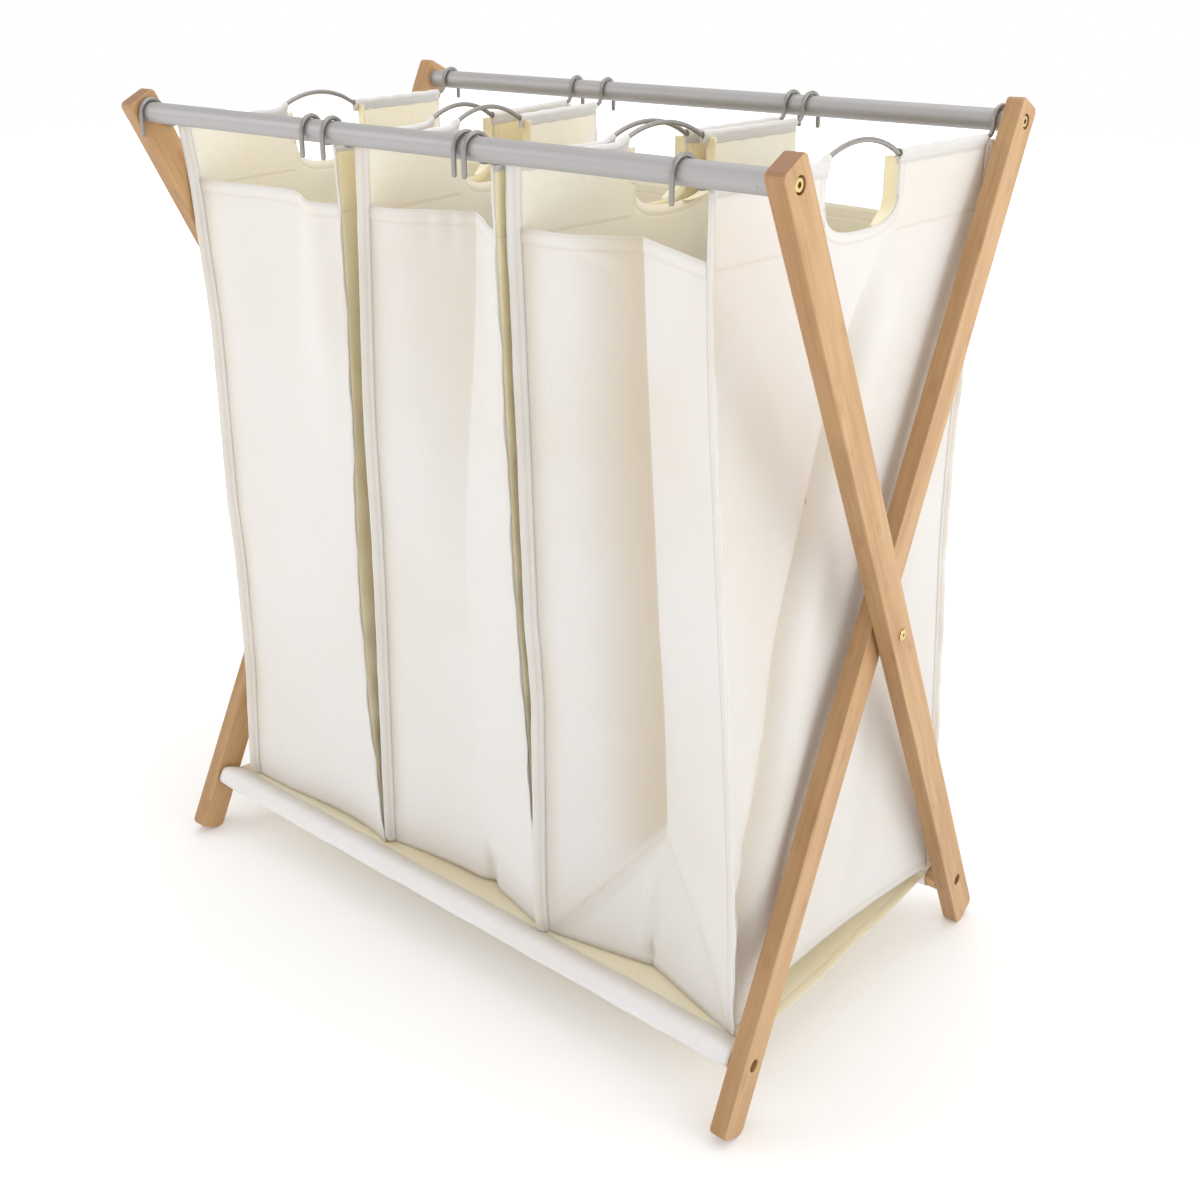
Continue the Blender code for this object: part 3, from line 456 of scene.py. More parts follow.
bagShape = {
    "floor": 0.0605, "mouth": 0.6955, "earTop": 0.7442, "earFront": -0.1650, "earRear": 0.1700,
    "flareFrom": 0.385, "rearStraight": 0.1360, "cloth": 0.0016,
    "openFront": -0.0400, "openRear": 0.0500, "handleFloor": 0.6940, "shoulder": 0.7150,
    "hem": 0.0110, "handleRim": 0.0080, "facing": 0.6890,
    "rearMouth": 0.6800,
    "rowsUp": 132, "merge": 0.00012, "hemCloth": 0.0008, "seamCloth": 0.0018,
    "lipReach": 0.0105, "lipTurn": 1.35, "lipLeast": 0.0012,
}
bagPlans = {
    "left": {"hangers": ((-0.3120, -0.3115), (-0.0985, -0.1365)),
             "front": (-0.3100, -0.1180, -0.1470), "rear": (-0.3060, -0.1070, 0.1450)},
    "middle": {"hangers": ((-0.0735, -0.0975), (0.0705, 0.1135)),
               "front": (-0.1120, 0.0920, -0.1420), "rear": (-0.0950, 0.1160, 0.1450)},
    "right": {"hangers": ((0.0810, 0.1325), (0.2635, 0.3095)),
              "front": (0.0980, 0.2970, -0.1470), "rear": (0.1220, 0.3250, 0.1450)},
}
b = bagShape
bagLift = {("left", 0): 0.004, ("left", 1): 0.003, ("middle", 0): 0.003, ("middle", 1): 0.004,
           ("right", 0): 0.004, ("right", 1): 0.011}

# how far each front corner hangs off the straight line, at some heights: (height, x, y)
cornerSettle = {
    ("left", 0): ((0.0605, 0.005, 0.005), (0.20, 0.014, 0.013), (0.315, 0.017, 0.017),
                  (0.565, 0.014, 0.019), (0.633, 0.008, 0.018), (0.685, 0.006, 0.017),
                  (0.727, 0.002, 0.014), (0.7465, 0.000, 0.012)),
    ("middle", 0): ((0.0605, 0.008, 0.007), (0.378, 0.011, 0.015), (0.513, 0.004, 0.012),
                    (0.694, -0.001, 0.013), (0.7465, 0.000, 0.013)),
    ("right", 0): ((0.0605, 0.004, 0.004), (0.098, 0.003, 0.004), (0.302, 0.009, 0.014),
                   (0.508, 0.007, 0.014), (0.705, 0.002, 0.016), (0.7465, 0.002, 0.016)),
    ("left", 1): ((0.0605, 0.006, 0.005), (0.22, 0.003, 0.001), (0.507, 0.003, 0.004),
                  (0.648, 0.002, 0.002), (0.7465, 0.000, 0.000)),
    ("middle", 1): ((0.0605, -0.001, -0.001), (0.344, 0.002, 0.004), (0.7465, 0.000, 0.000)),
    ("right", 1): ((0.0605, 0.000, 0.000), (0.20, 0.003, 0.004), (0.370, 0.004, 0.006),
                   (0.60, 0.000, 0.000), (0.7465, 0.000, 0.000)),
}


def eased(z, heights, values):
    # straight lines between the given heights, averaged over 48 mm
    reach = np.linspace(-0.024, 0.024, 9)
    return np.mean([np.interp(z + step, heights, values) for step in reach], axis=0)


def planCorners(plan, z):
    # x of the four corners and y of the front and rear at heights z
    up = np.clip((z - b["floor"]) / (b["mouth"] - b["floor"]), 0.0, 1.0)
    frontY = plan["front"][2] + (b["earFront"] - plan["front"][2]) * np.clip(up * 2.0, 0.0, 1.0)
    low = plan["rear"][2] + (b["rearStraight"] - plan["rear"][2]) * np.clip(
        (z - b["floor"]) / (b["flareFrom"] - b["floor"]), 0.0, 1.0)
    high = np.clip((z - b["flareFrom"]) / (b["mouth"] - b["flareFrom"]), 0.0, 1.0)
    rearY = low + (b["earRear"] - 0.004 - b["rearStraight"]) * smooth(high * 0.5) * 2.0
    rearY = rearY + 0.004 * smooth((z - b["mouth"] + 0.01) / 0.02)
    corners = []
    for side, (front, rear) in enumerate(plan["hangers"]):
        slope = (rear - front) / (2.0 * w["tubeY"])
        for y, floorX in ((frontY, plan["front"][side]), (rearY, plan["rear"][side])):
            corners.append(floorX + (front + slope * (y + w["tubeY"]) - floorX) * up)
    leftFront, leftRear, rightFront, rightRear = corners
    settle = []
    for side in (0, 1):
        table = np.array(cornerSettle[(plan["name"], side)])
        settle += [eased(z, table[:, 0], table[:, 1]), eased(z, table[:, 0], table[:, 2])]
    return (leftFront + settle[0], rightFront + settle[2], leftRear, rightRear,
            (frontY + settle[1], frontY + settle[3]), rearY, up)


def softMin(a, c, k):
    # the smaller of a and c, rounded off where they differ by less than k
    h = np.clip(0.5 + 0.5 * (c - a) / k, 0.0, 1.0)
    return c + (a - c) * h - k * h * (1.0 - h)


creaseAt = {"left": 0.56, "middle": 0.60, "right": 0.52}


def frontDepth(bag, s, up):
    # how far the front panel lies behind the line between its two corners
    ends = 1.0 - np.abs(2.0 * s - 1.0) ** 6
    crease = creaseAt[bag]
    fold = np.where(s < crease, s / crease, (1.0 - s) / (1.0 - crease))
    if bag == "left":
        # the mouth falls back slowly and comes forward again in one short step
        wave = 0.017 * smooth(s / crease) * (1.0 - smooth((s - crease) / 0.26))
        wave -= 0.008 * bump(s, 0.86, 0.09)
        depth = wave * smooth((up - 0.55) / 0.45) - 0.004 * np.sin(math.pi * s) * (1.0 - up)
        return depth * ends + 0.010 * np.sin(math.pi * s ** 1.6) * (1.0 - smooth(up / 0.16))
    if bag == "middle":
        valley = softMin(fold, 1.0, 0.04)
        depth = valley * (0.032 * smooth((up - 0.45) / 0.55) + 0.007)
        ripple = np.sin(s * 52.0 + 3.0 * up) * bump(s, 0.42, 0.12) * smooth((up - 0.93) / 0.07)
        depth += 0.0022 * ripple
        depth -= 0.006 * bump(s - 0.35 * (1.0 - up), 0.20, 0.15) * smooth((up - 0.3) / 0.5)
        dent = bump(s, 0.62 + 0.05 * up, 0.04) * (1.0 - smooth(up / 0.11))
        creased = np.sin(s * 90.0 - up * 60.0) * bump(s, 0.66, 0.07) * bump(up, 0.05, 0.025)
        return (depth * ends + 0.006 * dent + 0.0014 * creased
                + 0.008 * np.sin(math.pi * s) * (1.0 - smooth(up / 0.2)))
    # paper-bag fold: two halves fall back to a crease, and a triangle closes the foot of it
    foot = up / 0.198
    bent = np.where(s < crease, fold ** 1.45, fold)
    depth = (0.046 - 0.010 * up) * softMin(bent, foot, 0.008)
    depth = np.maximum(depth, 0.0)
    depth -= 0.0011 * bump(fold - foot, 0.0, 0.035) * smooth(up / 0.03) * (up < 0.23)
    depth += 0.024 * fold * (1.0 - smooth(up / 0.20))
    depth += 0.006 * bump(s, 0.50 - 0.3 * up, 0.009) * bump(up, 0.016, 0.016)
    depth -= 0.0020 * bump(s, 0.44 + 0.3 * up, 0.03) * smooth(up / 0.03) * (1.0 - smooth(
        (up - 0.10) / 0.08))
    depth += 0.0018 * np.sin(up * 190.0 + s * 20.0) * bump(s, 0.36, 0.10) * bump(up, 0.975, 0.02)
    depth -= 0.0050 * bump(s, 0.25, 0.12) * smooth((up - 0.2) / 0.2)
    return depth


def frontShade(bag, s, up):
    # share of painted beige shade on a front panel: beside its left seam, in its pleats and in its
    # dents
    share = 0.42 * bump(s, 0.0, 0.06) * smooth(up / 0.1)
    crease = creaseAt[bag]
    if bag == "left":
        return share + 0.16 * bump(s, crease + 0.05, 0.06) * smooth((up - 0.90) / 0.1)
    if bag == "middle":
        share = share + 0.20 * smooth((s - 0.30) / 0.30) * (s <= crease) * smooth((up - 0.35) / 0.5)
        return share + 0.35 * bump(s, 0.62, 0.03) * bump(up, 0.03, 0.03)
    fold = np.where(s <= crease, s / crease, (1.0 - s) / (1.0 - crease))
    foot = up / 0.198
    above = smooth((foot - fold) / 0.12)
    share = share + 0.62 * smooth((fold - 0.45) / 0.55) * (s <= crease) * above
    share = share + 0.30 * bump(fold - foot, 0.0, 0.022) * smooth(up / 0.02) * (foot < 1.05)
    return share + 0.85 * bump(s, 0.50 - 0.3 * up, 0.010) * bump(up, 0.016, 0.015)


def foldLine(up):
    # y of a side panel's long slanted fold, from under the handle to the lower front corner
    return -0.150 + 0.195 * up ** 1.6 + 0.006 * np.sin(up * 21.0) * (1.0 - up)


def sideShade(bag, side, y, z):
    # share of painted beige shade on a side panel: along its slanted fold and behind its front seam
    up = np.clip((z - b["floor"]) / (b["mouth"] - b["floor"]), 0.0, 1.0)
    size = 0.34 if (bag, side) == ("right", 1) else 0.20
    body = smooth(up / 0.08) * (1.0 - smooth((up - 0.80) / 0.15))
    share = size * bump(y - foldLine(up), -0.003, 0.008 + 0.012 * up) * body
    return share + 0.22 * bump(y, -0.110, 0.050) * bump(up, 0.62, 0.26)


def sideBulge(bag, side, y, z):
    # outward swell of a side panel, zero at its corners; soft folds run down and forwards
    ends = np.sin(math.pi * np.clip((y - b["earFront"]) / (b["earRear"] - b["earFront"]), 0, 1))
    up = np.clip((z - b["floor"]) / (b["mouth"] - b["floor"]), 0.0, 1.0)
    body = smooth(up / 0.15) * (1.0 - smooth((up - 0.86) / 0.14))
    swell = 0.0030 * ends * body
    swell -= 0.0055 * ends * (1.0 - smooth(up / 0.12))
    # long slanted fold, from under the handle to the lower front corner
    size = 0.0105 if (bag, side) == ("right", 1) else 0.0040
    away = y - foldLine(up)
    swell -= size * bump(away, 0.0, 0.011) * body
    swell += size * 0.55 * bump(away, 0.030, 0.022) * body
    swell += size * 0.25 * bump(away, -0.026, 0.016) * body * (up > 0.4)
    low = 0.165 - 0.16 * (1.0 - up)
    swell -= 0.5 * size * bump(y - low, 0.0, 0.022) * body * ends
    swell += 0.0022 * np.sin(z * 118.0 + 2.0) * bump(y, -0.148, 0.010) * body * (1.0 - up)
    return swell


def rearDepth(bag, s, up):
    # one shallow valley across the rear panel, deeper towards the mouth, plus a small dent
    shift = {"left": 0.42, "middle": 0.55, "right": 0.48}[bag]
    ends = 1.0 - np.abs(2.0 * s - 1.0) ** 6
    valley = softMin(s / shift, (1.0 - s) / (1.0 - shift), 0.2)
    depth = -valley * (0.010 * smooth((up - 0.5) / 0.5) + 0.003)
    depth += 0.003 * bump(s, shift + 0.15, 0.06) * bump(up, 0.7, 0.2)
    return depth * ends


def rowHeights(low, high, count, marks):
    # even rows, with the marked heights put in exactly
    rows = np.unique(np.round(np.concatenate([np.linspace(low, high, count), marks]), 5))
    keep = np.ones(len(rows), bool)
    marked = np.isin(rows, np.round(np.asarray(marks), 5)) | (rows == rows[0]) | (rows == rows[-1])
    keep[1:][(np.diff(rows) < 0.0012) & ~marked[1:]] = False
    return rows[keep]


def handleEdge(y):
    # lower edge of the handle opening: a U with round corners
    middle = (b["openFront"] + b["openRear"]) / 2.0
    ratio = np.clip(np.abs(y - middle) / (b["openRear"] - middle), 0.0, 1.0)
    rise = 1.0 - (1.0 - ratio ** 2.6) ** (1.0 / 2.6)
    return b["handleFloor"] + (b["shoulder"] - b["handleFloor"]) * rise


def bottomLift(bag, side, share, z):
    # the lower edge rises towards the rear and fades out 0.1 m up the panel
    lift = bagLift[(bag, side)] * smooth(share / 0.30) + 0.002 * np.sin(math.pi * share)
    return lift * np.clip(1.0 - (z - b["floor"]) / 0.10, 0.0, 1.0)


def sidePoint(bag, plan, side, y, z):
    # place on a side panel: y is given at the height of the ears
    share = (y - b["earFront"]) / (b["earRear"] - b["earFront"])
    lf, rf, lr, rr, frontYs, ry, _ = planCorners(plan, z)
    front, rear = (lf, lr) if side == 0 else (rf, rr)
    fy = frontYs[side]
    outward = -1.0 if side == 0 else 1.0
    x = front + (rear - front) * share + outward * sideBulge(bag, side, y, z)
    return np.stack([x, fy + (ry - fy) * share, z + bottomLift(bag, side, share, z)], -1)


def stitchPair(away, along):
    # two grids as one grid of pairs
    return np.stack([away, along], -1)


def makePatch(points, away, along, weaveU, weaveV, flip, finish=0, fold=0.0):
    # a grid of points with its faces, three uv pairs for each point and one finish number
    rows, columns = points.shape[:2]
    fold = np.clip(np.broadcast_to(fold, (rows, columns)), 0.0, 1.0)
    faces = gridFaces(rows, columns)
    if flip:
        faces = faces[:, ::-1]
    return (points.reshape(-1, 3), faces,
            stitchPair(away, along).reshape(-1, 2), stitchPair(weaveU, weaveV).reshape(-1, 2),
            # the third pair's first value is the share of painted shade
            stitchPair(fold, np.zeros_like(fold)).reshape(-1, 2),
            np.full(len(faces), finish, np.int32))


def joinPatches(name, patches):
    # patches laid end to end, each one's faces moved on by the points before it
    offset = 0
    points, faces, stitches, weaves, folds, finishes = [], [], [], [], [], []
    for p, f, s, v, d, m in patches:
        points.append(p)
        faces.append(f + offset)
        stitches.append(s)
        weaves.append(v)
        folds.append(d)
        finishes.append(m)
        offset += len(p)
    # the fold uv layer carries the share of painted shade
    obj = newPiece(name, np.concatenate(points), np.concatenate(faces),
                   {"weave": np.concatenate(weaves), "stitch": np.concatenate(stitches),
                    "fold": np.concatenate(folds)})
    obj.data.polygons.foreach_set("material_index", np.concatenate(finishes))
    return obj


def makeBag(bag, plan):
    # each panel is its own grid of (share across, height), and all share their corner lines
    patches = []
    hemMarks = [b["mouth"] - b["hem"], b["mouth"] - b["hem"] - 0.0012,
                b["mouth"] - b["hem"] + 0.0012]
    zRows = rowHeights(b["floor"], b["mouth"], b["rowsUp"], hemMarks)
    crease = creaseAt[bag]
    s = np.concatenate([np.linspace(0.0, crease, 33), np.linspace(crease, 1.0, 31)[1:]])
    sGrid, zGrid = np.meshgrid(s, zRows)
    lf, rf, lr, rr, frontYs, ry, up = planCorners(plan, zGrid)
    fy = frontYs[0] + (frontYs[1] - frontYs[0]) * sGrid
    rise = 0.002 * np.sin(math.pi * sGrid) * np.clip(1.0 - (zGrid - b["floor"]) / 0.05, 0.0, 1.0)
    hemStep = -0.0006 * smooth((zGrid - b["mouth"] + b["hem"] + 0.0012) / 0.0024)
    front = np.stack([lf + (rf - lf) * sGrid, fy + frontDepth(bag, sGrid, up) + hemStep,
                      zGrid + rise], -1)
    away = zGrid - (b["mouth"] - b["hem"])
    patches.append(makePatch(front, away, sGrid * 0.2, sGrid * 0.2, zGrid, False, 0,
                             frontShade(bag, sGrid, up)))
    # the rear mouth is lower than the front one, and lowest at its right end
    zGrid = b["floor"] + ((zGrid - b["floor"]) * (b["rearMouth"] - b["floor"])
                          / (b["mouth"] - b["floor"]))
    zGrid = zGrid - 0.007 * smooth(sGrid) * up ** 6
    _, _, lr, rr, _, ry, up = planCorners(plan, zGrid)
    rearRise = (bottomLift(bag, 0, 1.0, zGrid) * (1.0 - sGrid) + bottomLift(bag, 1, 1.0, zGrid) * sGrid
                + 0.6 * rise)
    rear = np.stack([lr + (rr - lr) * sGrid, ry - rearDepth(bag, sGrid, up) - hemStep,
                     zGrid + rearRise], -1)
    patches.append(makePatch(rear, away, sGrid * 0.2, sGrid * 0.2, zGrid, True))
    # floor: a sagging sheet between the four bottom edges
    depth = np.linspace(0.0, 1.0, 49)
    tt, ss = np.meshgrid(depth, s, indexing="ij")
    low = front[0]
    far = rear[0]
    leftEdge = sidePoint(bag, plan, 0, b["earFront"] + depth * (b["earRear"] - b["earFront"]),
                         np.full_like(depth, b["floor"]))
    rightEdge = sidePoint(bag, plan, 1, b["earFront"] + depth * (b["earRear"] - b["earFront"]),
                          np.full_like(depth, b["floor"]))
    # Coons patch: the two pairs of edges less the bilinear part
    tt3, ss3 = tt[..., None], ss[..., None]
    floor = ((1 - tt3) * low[None] + tt3 * far[None]
             + (1 - ss3) * leftEdge[:, None] + ss3 * rightEdge[:, None]
             - ((1 - tt3) * (1 - ss3) * low[0] + (1 - tt3) * ss3 * low[-1]
                + tt3 * (1 - ss3) * far[0] + tt3 * ss3 * far[-1]))
    middle = np.sin(math.pi * tt) * np.sin(math.pi * ss)
    floor[..., 2] -= (floor[..., 2] - b["floor"]) * smooth(middle * 2.2)
    floor[..., 2] += 0.0012 * (1.0 + np.sin(ss * 17.0) * np.sin(tt * 13.0)) * middle
    patches.append(makePatch(floor, np.full_like(tt, 1.0), tt, ss * 0.2, tt * 0.3, True))
    # side panels: below the handle, and the two ears beside it
    front, rear = b["openFront"], b["openRear"]
    arch = (front + rear) / 2.0 - (rear - front) / 2.0 * np.cos(np.linspace(0, math.pi, 41))
    ys = np.unique(np.concatenate([np.linspace(b["earFront"], front, 28), arch,
                                   np.linspace(rear, b["earRear"], 27)]).round(6))
    for side in (0, 1):
        opened = (ys >= front - 1e-6) & (ys <= rear + 1e-6)
        top = np.where(opened, handleEdge(ys), b["shoulder"])
        share = np.linspace(0.0, 1.0, 128)
        yGrid = np.broadcast_to(ys, (len(share), len(ys)))
        zSide = b["floor"] + share[:, None] * (top - b["floor"])[None]
        rimAway = (top[None] - zSide) - b["handleRim"]
        rim = 0.0005 * smooth((b["handleRim"] + 0.0012 - (top[None] - zSide)) / 0.0024)
        rim = rim * opened[None]
        panel = sidePoint(bag, plan, side, yGrid, zSide)
        panel[..., 0] += (rim if side else -rim)
        hemAway = np.abs(zSide - b["floor"] - 0.0075) - 0.0025
        away = np.where(np.abs(rimAway) < np.abs(hemAway), rimAway, hemAway)
        away = np.where(~opened[None] & (zSide > 0.3), zSide - b["facing"], away)
        # painted warm shade: side panels facing a gap between bags take the yellow gap copy, finish 2
        shaded = 0 if (bag, side) in (("left", 0), ("right", 1)) else 2
        patches.append(makePatch(panel, away, yGrid, yGrid, zSide, side == 0, shaded,
                                 sideShade(bag, side, yGrid, zSide)))
        for low, high in ((b["earFront"], front), (rear, b["earRear"])):
            inEar = (ys >= low - 1e-6) & (ys <= high + 1e-6)
            yy, zz = np.meshgrid(ys[inEar], np.linspace(b["shoulder"], b["earTop"], 14))
            ear = sidePoint(bag, plan, side, yy, zz)
            edge = rear if high > 0.1 else front
            patches.append(makePatch(ear, np.abs(yy - edge) - b["handleRim"] * 0.8, zz, yy, zz,
                                     side == 0, shaded))
        # the hem beside the handle's rear edge turns in towards the bag
        turn = np.linspace(0.0, 1.0, 9)
        path = np.concatenate([np.stack([arch, handleEdge(arch)], 1),
                               np.stack([np.full(10, rear), np.linspace(
                                   b["shoulder"], b["earTop"], 11)[1:]], 1)])
        reach = b["lipReach"] * smooth((path[:, 0] - 0.012) / 0.036)
        edge = sidePoint(bag, plan, side, path[:, 0], path[:, 1])
        inward = (1.0 if side == 0 else -1.0) * reach[:, None] * np.sin(turn * b["lipTurn"])[None]
        back = (-0.0035 * (reach / b["lipReach"])[:, None]
                * (1.0 - np.cos(turn * b["lipTurn"]))[None])
        lip = edge[:, None] + np.stack([inward, back, 0.2 * back], -1)
        lip = lip[reach > b["lipLeast"]]
        kept = np.broadcast_to(path[reach > b["lipLeast"], 1][:, None], lip.shape[:2])
        # the turned-in lip takes the yellow gap copy too: painted warm shade
        patches.append(makePatch(lip, np.full(lip.shape[:2], 1.0), kept, kept,
                                 lip[..., 0], side == 1, 2))
    return joinPatches("canvas_bag_" + bag, patches)


def thicken(obj, thickness, offset, inner=0):
    # wall of even thickness; inner is added to the finish number on its far side
    wall = obj.modifiers.new("wall", "SOLIDIFY")
    wall.thickness = thickness
    wall.offset = offset
    wall.use_even_offset = True
    wall.material_offset = inner
    wall.material_offset_rim = 0
    with bpy.context.temp_override(object=obj, active_object=obj, selected_objects=[obj]):
        bpy.ops.object.modifier_apply(modifier=wall.name)


hemTube = {"radius": 0.0034, "drop": 0.0085, "spread": 0.0012}


def makeHemTube(plan, side, low, high):
    # cloth turned over the wire: up one side, round the wire and down the other
    front, rear = plan["hangers"][side]
    slope = (rear - front) / (2.0 * w["tubeY"])
    ys = np.linspace(low, high, 40)
    angles = np.radians(np.linspace(-20.0, 200.0, 17))
    r = hemTube["radius"]
    across = np.concatenate([[hemTube["spread"]] * 3, r * np.cos(angles),
                             [-hemTube["spread"]] * 3])
    height = np.concatenate([-hemTube["drop"] * np.array([1.0, 0.8, 0.62]), r * np.sin(angles),
                             -hemTube["drop"] * np.array([0.62, 0.8, 1.0])])
    ripple = 0.0003 * np.sin(ys * 240.0 + side * 2.0)
    x = (front + rear) / 2.0 + slope * ys
    points = np.stack([x[:, None] + across[None] * (1.0 + ripple[:, None] * 200.0),
                       np.broadcast_to(ys[:, None], (40, len(across))),
                       w["hemZ"] + wireRise(ys)[:, None] * (height[None] > -0.004)
                       + height[None] + ripple[:, None]], -1)
    rows, columns = points.shape[:2]
    away = np.broadcast_to(height + hemTube["drop"] * 0.8, (rows, columns))
    along = np.broadcast_to(ys[:, None], (rows, columns))
    return makePatch(points, away, along, along, points[..., 2], False)


flangeTurns = {                     # direction of the flange, in plan, and its width
    ("left", 0, 0): ((-0.62, -0.78), 0.0105), ("left", 1, 0): ((0.62, -0.78), 0.0050),
    ("middle", 0, 0): ((-0.45, -0.89), 0.0110), ("middle", 1, 0): ((0.45, -0.89), 0.0050),
    ("right", 0, 0): ((-0.45, -0.89), 0.0120), ("right", 1, 0): ((0.88, -0.47), 0.0085),
    ("left", 0, 1): ((-0.70, 0.70), 0.0080), ("left", 1, 1): ((0.50, 0.86), 0.0060),
    ("middle", 0, 1): ((-0.50, 0.86), 0.0060), ("middle", 1, 1): ((0.50, 0.86), 0.0060),
    ("right", 0, 1): ((-0.50, 0.86), 0.0060), ("right", 1, 1): ((0.60, 0.80), 0.0075),
}


def makeFlange(bag, plan, side, rearEnd):
    # two cloths sewn together outside the corner: a narrow strip, square to neither panel
    (dx, dy), width = flangeTurns[(bag, side, rearEnd)]
    size = math.hypot(dx, dy)
    z = np.linspace(b["floor"] - 0.0005, b["earTop"] + 0.0008, 150)
    y = b["earRear"] if rearEnd else b["earFront"]
    line = sidePoint(bag, plan, side, np.full_like(z, y), z)
    share = np.linspace(0.0, 1.0, 7)
    # the foot of the strip is rounded off, and its free edge waves a little
    foot = np.sqrt(np.clip((z - z[0]) / 0.007, 0.0, 1.0)) * 0.7 + 0.3
    wave = 0.0009 * np.sin(z * 57.0 + side * 2.0) + 0.0005 * np.sin(z * 141.0 + 1.0)
    reach = width * foot[:, None] * share[None]
    lean = (wave[:, None] * share[None] ** 2)
    points = np.stack([
        line[:, None, 0] + reach * dx / size + lean * dy / size,
        line[:, None, 1] + reach * dy / size - lean * dx / size,
        np.broadcast_to(line[:, None, 2], (len(z), len(share)))], -1)
    away = np.broadcast_to((share - 0.45) * width, (len(z), len(share)))
    along = np.broadcast_to(z[:, None], (len(z), len(share)))
    flip = (side == 0) != bool(rearEnd)
    return makePatch(points, away, along, away, along, flip)


for bag, plan in bagPlans.items():
    plan["name"] = bag
    body = "bag_%s_on_hangers" % bag
    skin = makeBag(bag, plan)
    repair(skin, merge=bagShape["merge"])
    # outside, inside, gap and inside copies of one cloth: the inside copy carries painted bounce light
    # and the gap copy painted warm shade
    dress(skin, canvasOut, canvasIn, canvasGapWarmShade, canvasIn)
    thicken(skin, b["cloth"], 0.0, 1)
    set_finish(skin, "bag_canvas")
    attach(skin, body)
    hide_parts("bag_" + bag)
    hems = joinPatches("bag_hems_" + bag, [
        makeHemTube(plan, side, low, high)
        for side in (0, 1)
        for low, high in ((b["earFront"] + cornerSettle[(bag, side)][-1][2] + 0.0005,
                           b["openFront"] + 0.0012),
                          (b["openRear"] - 0.0012, b["earRear"] - 0.0005))])
    thicken(hems, b["hemCloth"], 1.0)
    seams = joinPatches("bag_seams_" + bag, [
        makeFlange(bag, plan, side, rearEnd) for side in (0, 1) for rearEnd in (0, 1)])
    thicken(seams, b["seamCloth"], 0.0)
    for extra in (hems, seams):
        dress(extra, canvasOut)
        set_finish(extra, "bag_canvas")
        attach(extra, body)
    wires = []
    for side, (front, rear) in enumerate(plan["hangers"]):
        wire = makeHanger("hanger_wire_%s_%d" % (bag, side + 1), front, rear, body)
        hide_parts("hanger_%s_%d" % (bag, side + 1))
        wires.append(wire)
    for obj in (skin, hems, seams, *wires):
        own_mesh(obj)
    print("bag made:", bag)

baseCloth = {
    "barY": frameShape["barY"], "barZ": frameShape["barZ"], "turn": bambooLook["legTurn"],
    "barWide": 0.024, "barHigh": 0.014, "shiftWide": 0.0025, "shiftHigh": 0.0004,
    "clearance": 0.0018, "cloth": 0.0009, "corner": 0.0060, "sag": 0.0040,
    "frontX": (-0.3335, 0.3132), "rearX": (-0.3115, 0.3255), "blendFrom": 0.1420,
    "flatWidth": 0.642, "swell": 0.0009, "merge": 0.00005,
    "rootGap": 0.0003,            # the sheet's edge starts this far below the sleeve
    # painted shade on the sleeves' tops: its share, and the rows it fades over
    "sleeveShadeShare": 0.36, "sleeveShadeRows": 26.0,
}


def sleeveLoop():
    # rounded rectangle round the front bar, in (y, z), starting at its upper inner corner
    c = baseCloth
    halfW = c["barWide"] / 2.0 + c["clearance"]
    halfH = c["barHigh"] / 2.0 + c["clearance"]
    r = c["corner"]
    loop = []
    for cx, cy, start in ((halfW - r, halfH - r, 0.0), (-(halfW - r), halfH - r, 90.0),
                          (-(halfW - r), -(halfH - r), 180.0), (halfW - r, -(halfH - r), 270.0)):
        loop.append(arcPoints((cx, cy), r, start, start + 90.0, 6))
    return np.concatenate(loop)


def baseChain():
    # the sleeve's outline at even steps, turned with the legs and set round the front bar
    c = baseCloth
    loop = sleeveLoop()
    # finer points on the flats, so the cloth can swell there
    closed = np.concatenate([loop, loop[:1]])
    length = np.concatenate([[0.0], np.cumsum(np.linalg.norm(np.diff(closed, axis=0), axis=1))])
    even = np.linspace(0.0, length[-1], 73)
    closed = np.stack([np.interp(even, length, closed[:, i]) for i in (0, 1)], 1)
    # leg frame to y and z: the wide side runs up and inwards, square to the leg
    a = c["turn"]
    wide = closed[:, 0]
    high = closed[:, 1]
    alongLeg = np.array([-math.sin(a), -math.cos(a)])
    acrossLeg = np.array([math.cos(a), -math.sin(a)])
    centre = (np.array([-c["barY"], c["barZ"]]) + acrossLeg * c["shiftWide"]
              + alongLeg * c["shiftHigh"])
    front = centre + wide[:, None] * acrossLeg - high[:, None] * alongLeg
    return front


chain = baseChain()
rootIndex = int(np.argmax(chain[:-1, 0] * 0.6 + chain[:-1, 1]))
ring = np.roll(chain[:-1], -rootIndex, axis=0)
if ring[2, 0] > ring[-2, 0]:
    ring = ring[::-1]
    ring = np.roll(ring, 1, axis=0)
root = ring[0]
xShare = np.linspace(0.0, 1.0, 161)


def baseX(y, share):
    # straight line from the cloth's left edge to its right edge at depth y
    c = baseCloth
    t = (y + w["tubeY"]) / (2.0 * w["tubeY"])
    left = c["frontX"][0] + (c["rearX"][0] - c["frontX"][0]) * t
    right = c["frontX"][1] + (c["rearX"][1] - c["frontX"][1]) * t
    return left + (right - left) * share


def basePoints(section, swell):
    # the section carried along x, pushed outwards by up to swell times two sines
    y = np.repeat(section[:, :1], len(xShare), axis=1)
    z = np.repeat(section[:, 1:], len(xShare), axis=1)
    middle = section.mean(axis=0)
    awayY, awayZ = y - middle[0], z - middle[1]
    size = np.hypot(awayY, awayZ) + 1e-9
    x = baseX(y, xShare[None])
    ripple = (np.sin(x * 61.0 + y * 30.0) + 0.6 * np.sin(x * 137.0 + z * 90.0 + 1.0)) / 1.6
    lift = swell * (0.5 + 0.5 * ripple) * np.clip(np.abs(xShare[None] - 0.5) * -40.0 + 20.0, 0, 1)
    return np.stack([x, y + lift * awayY / size, z + lift * awayZ / size], -1)


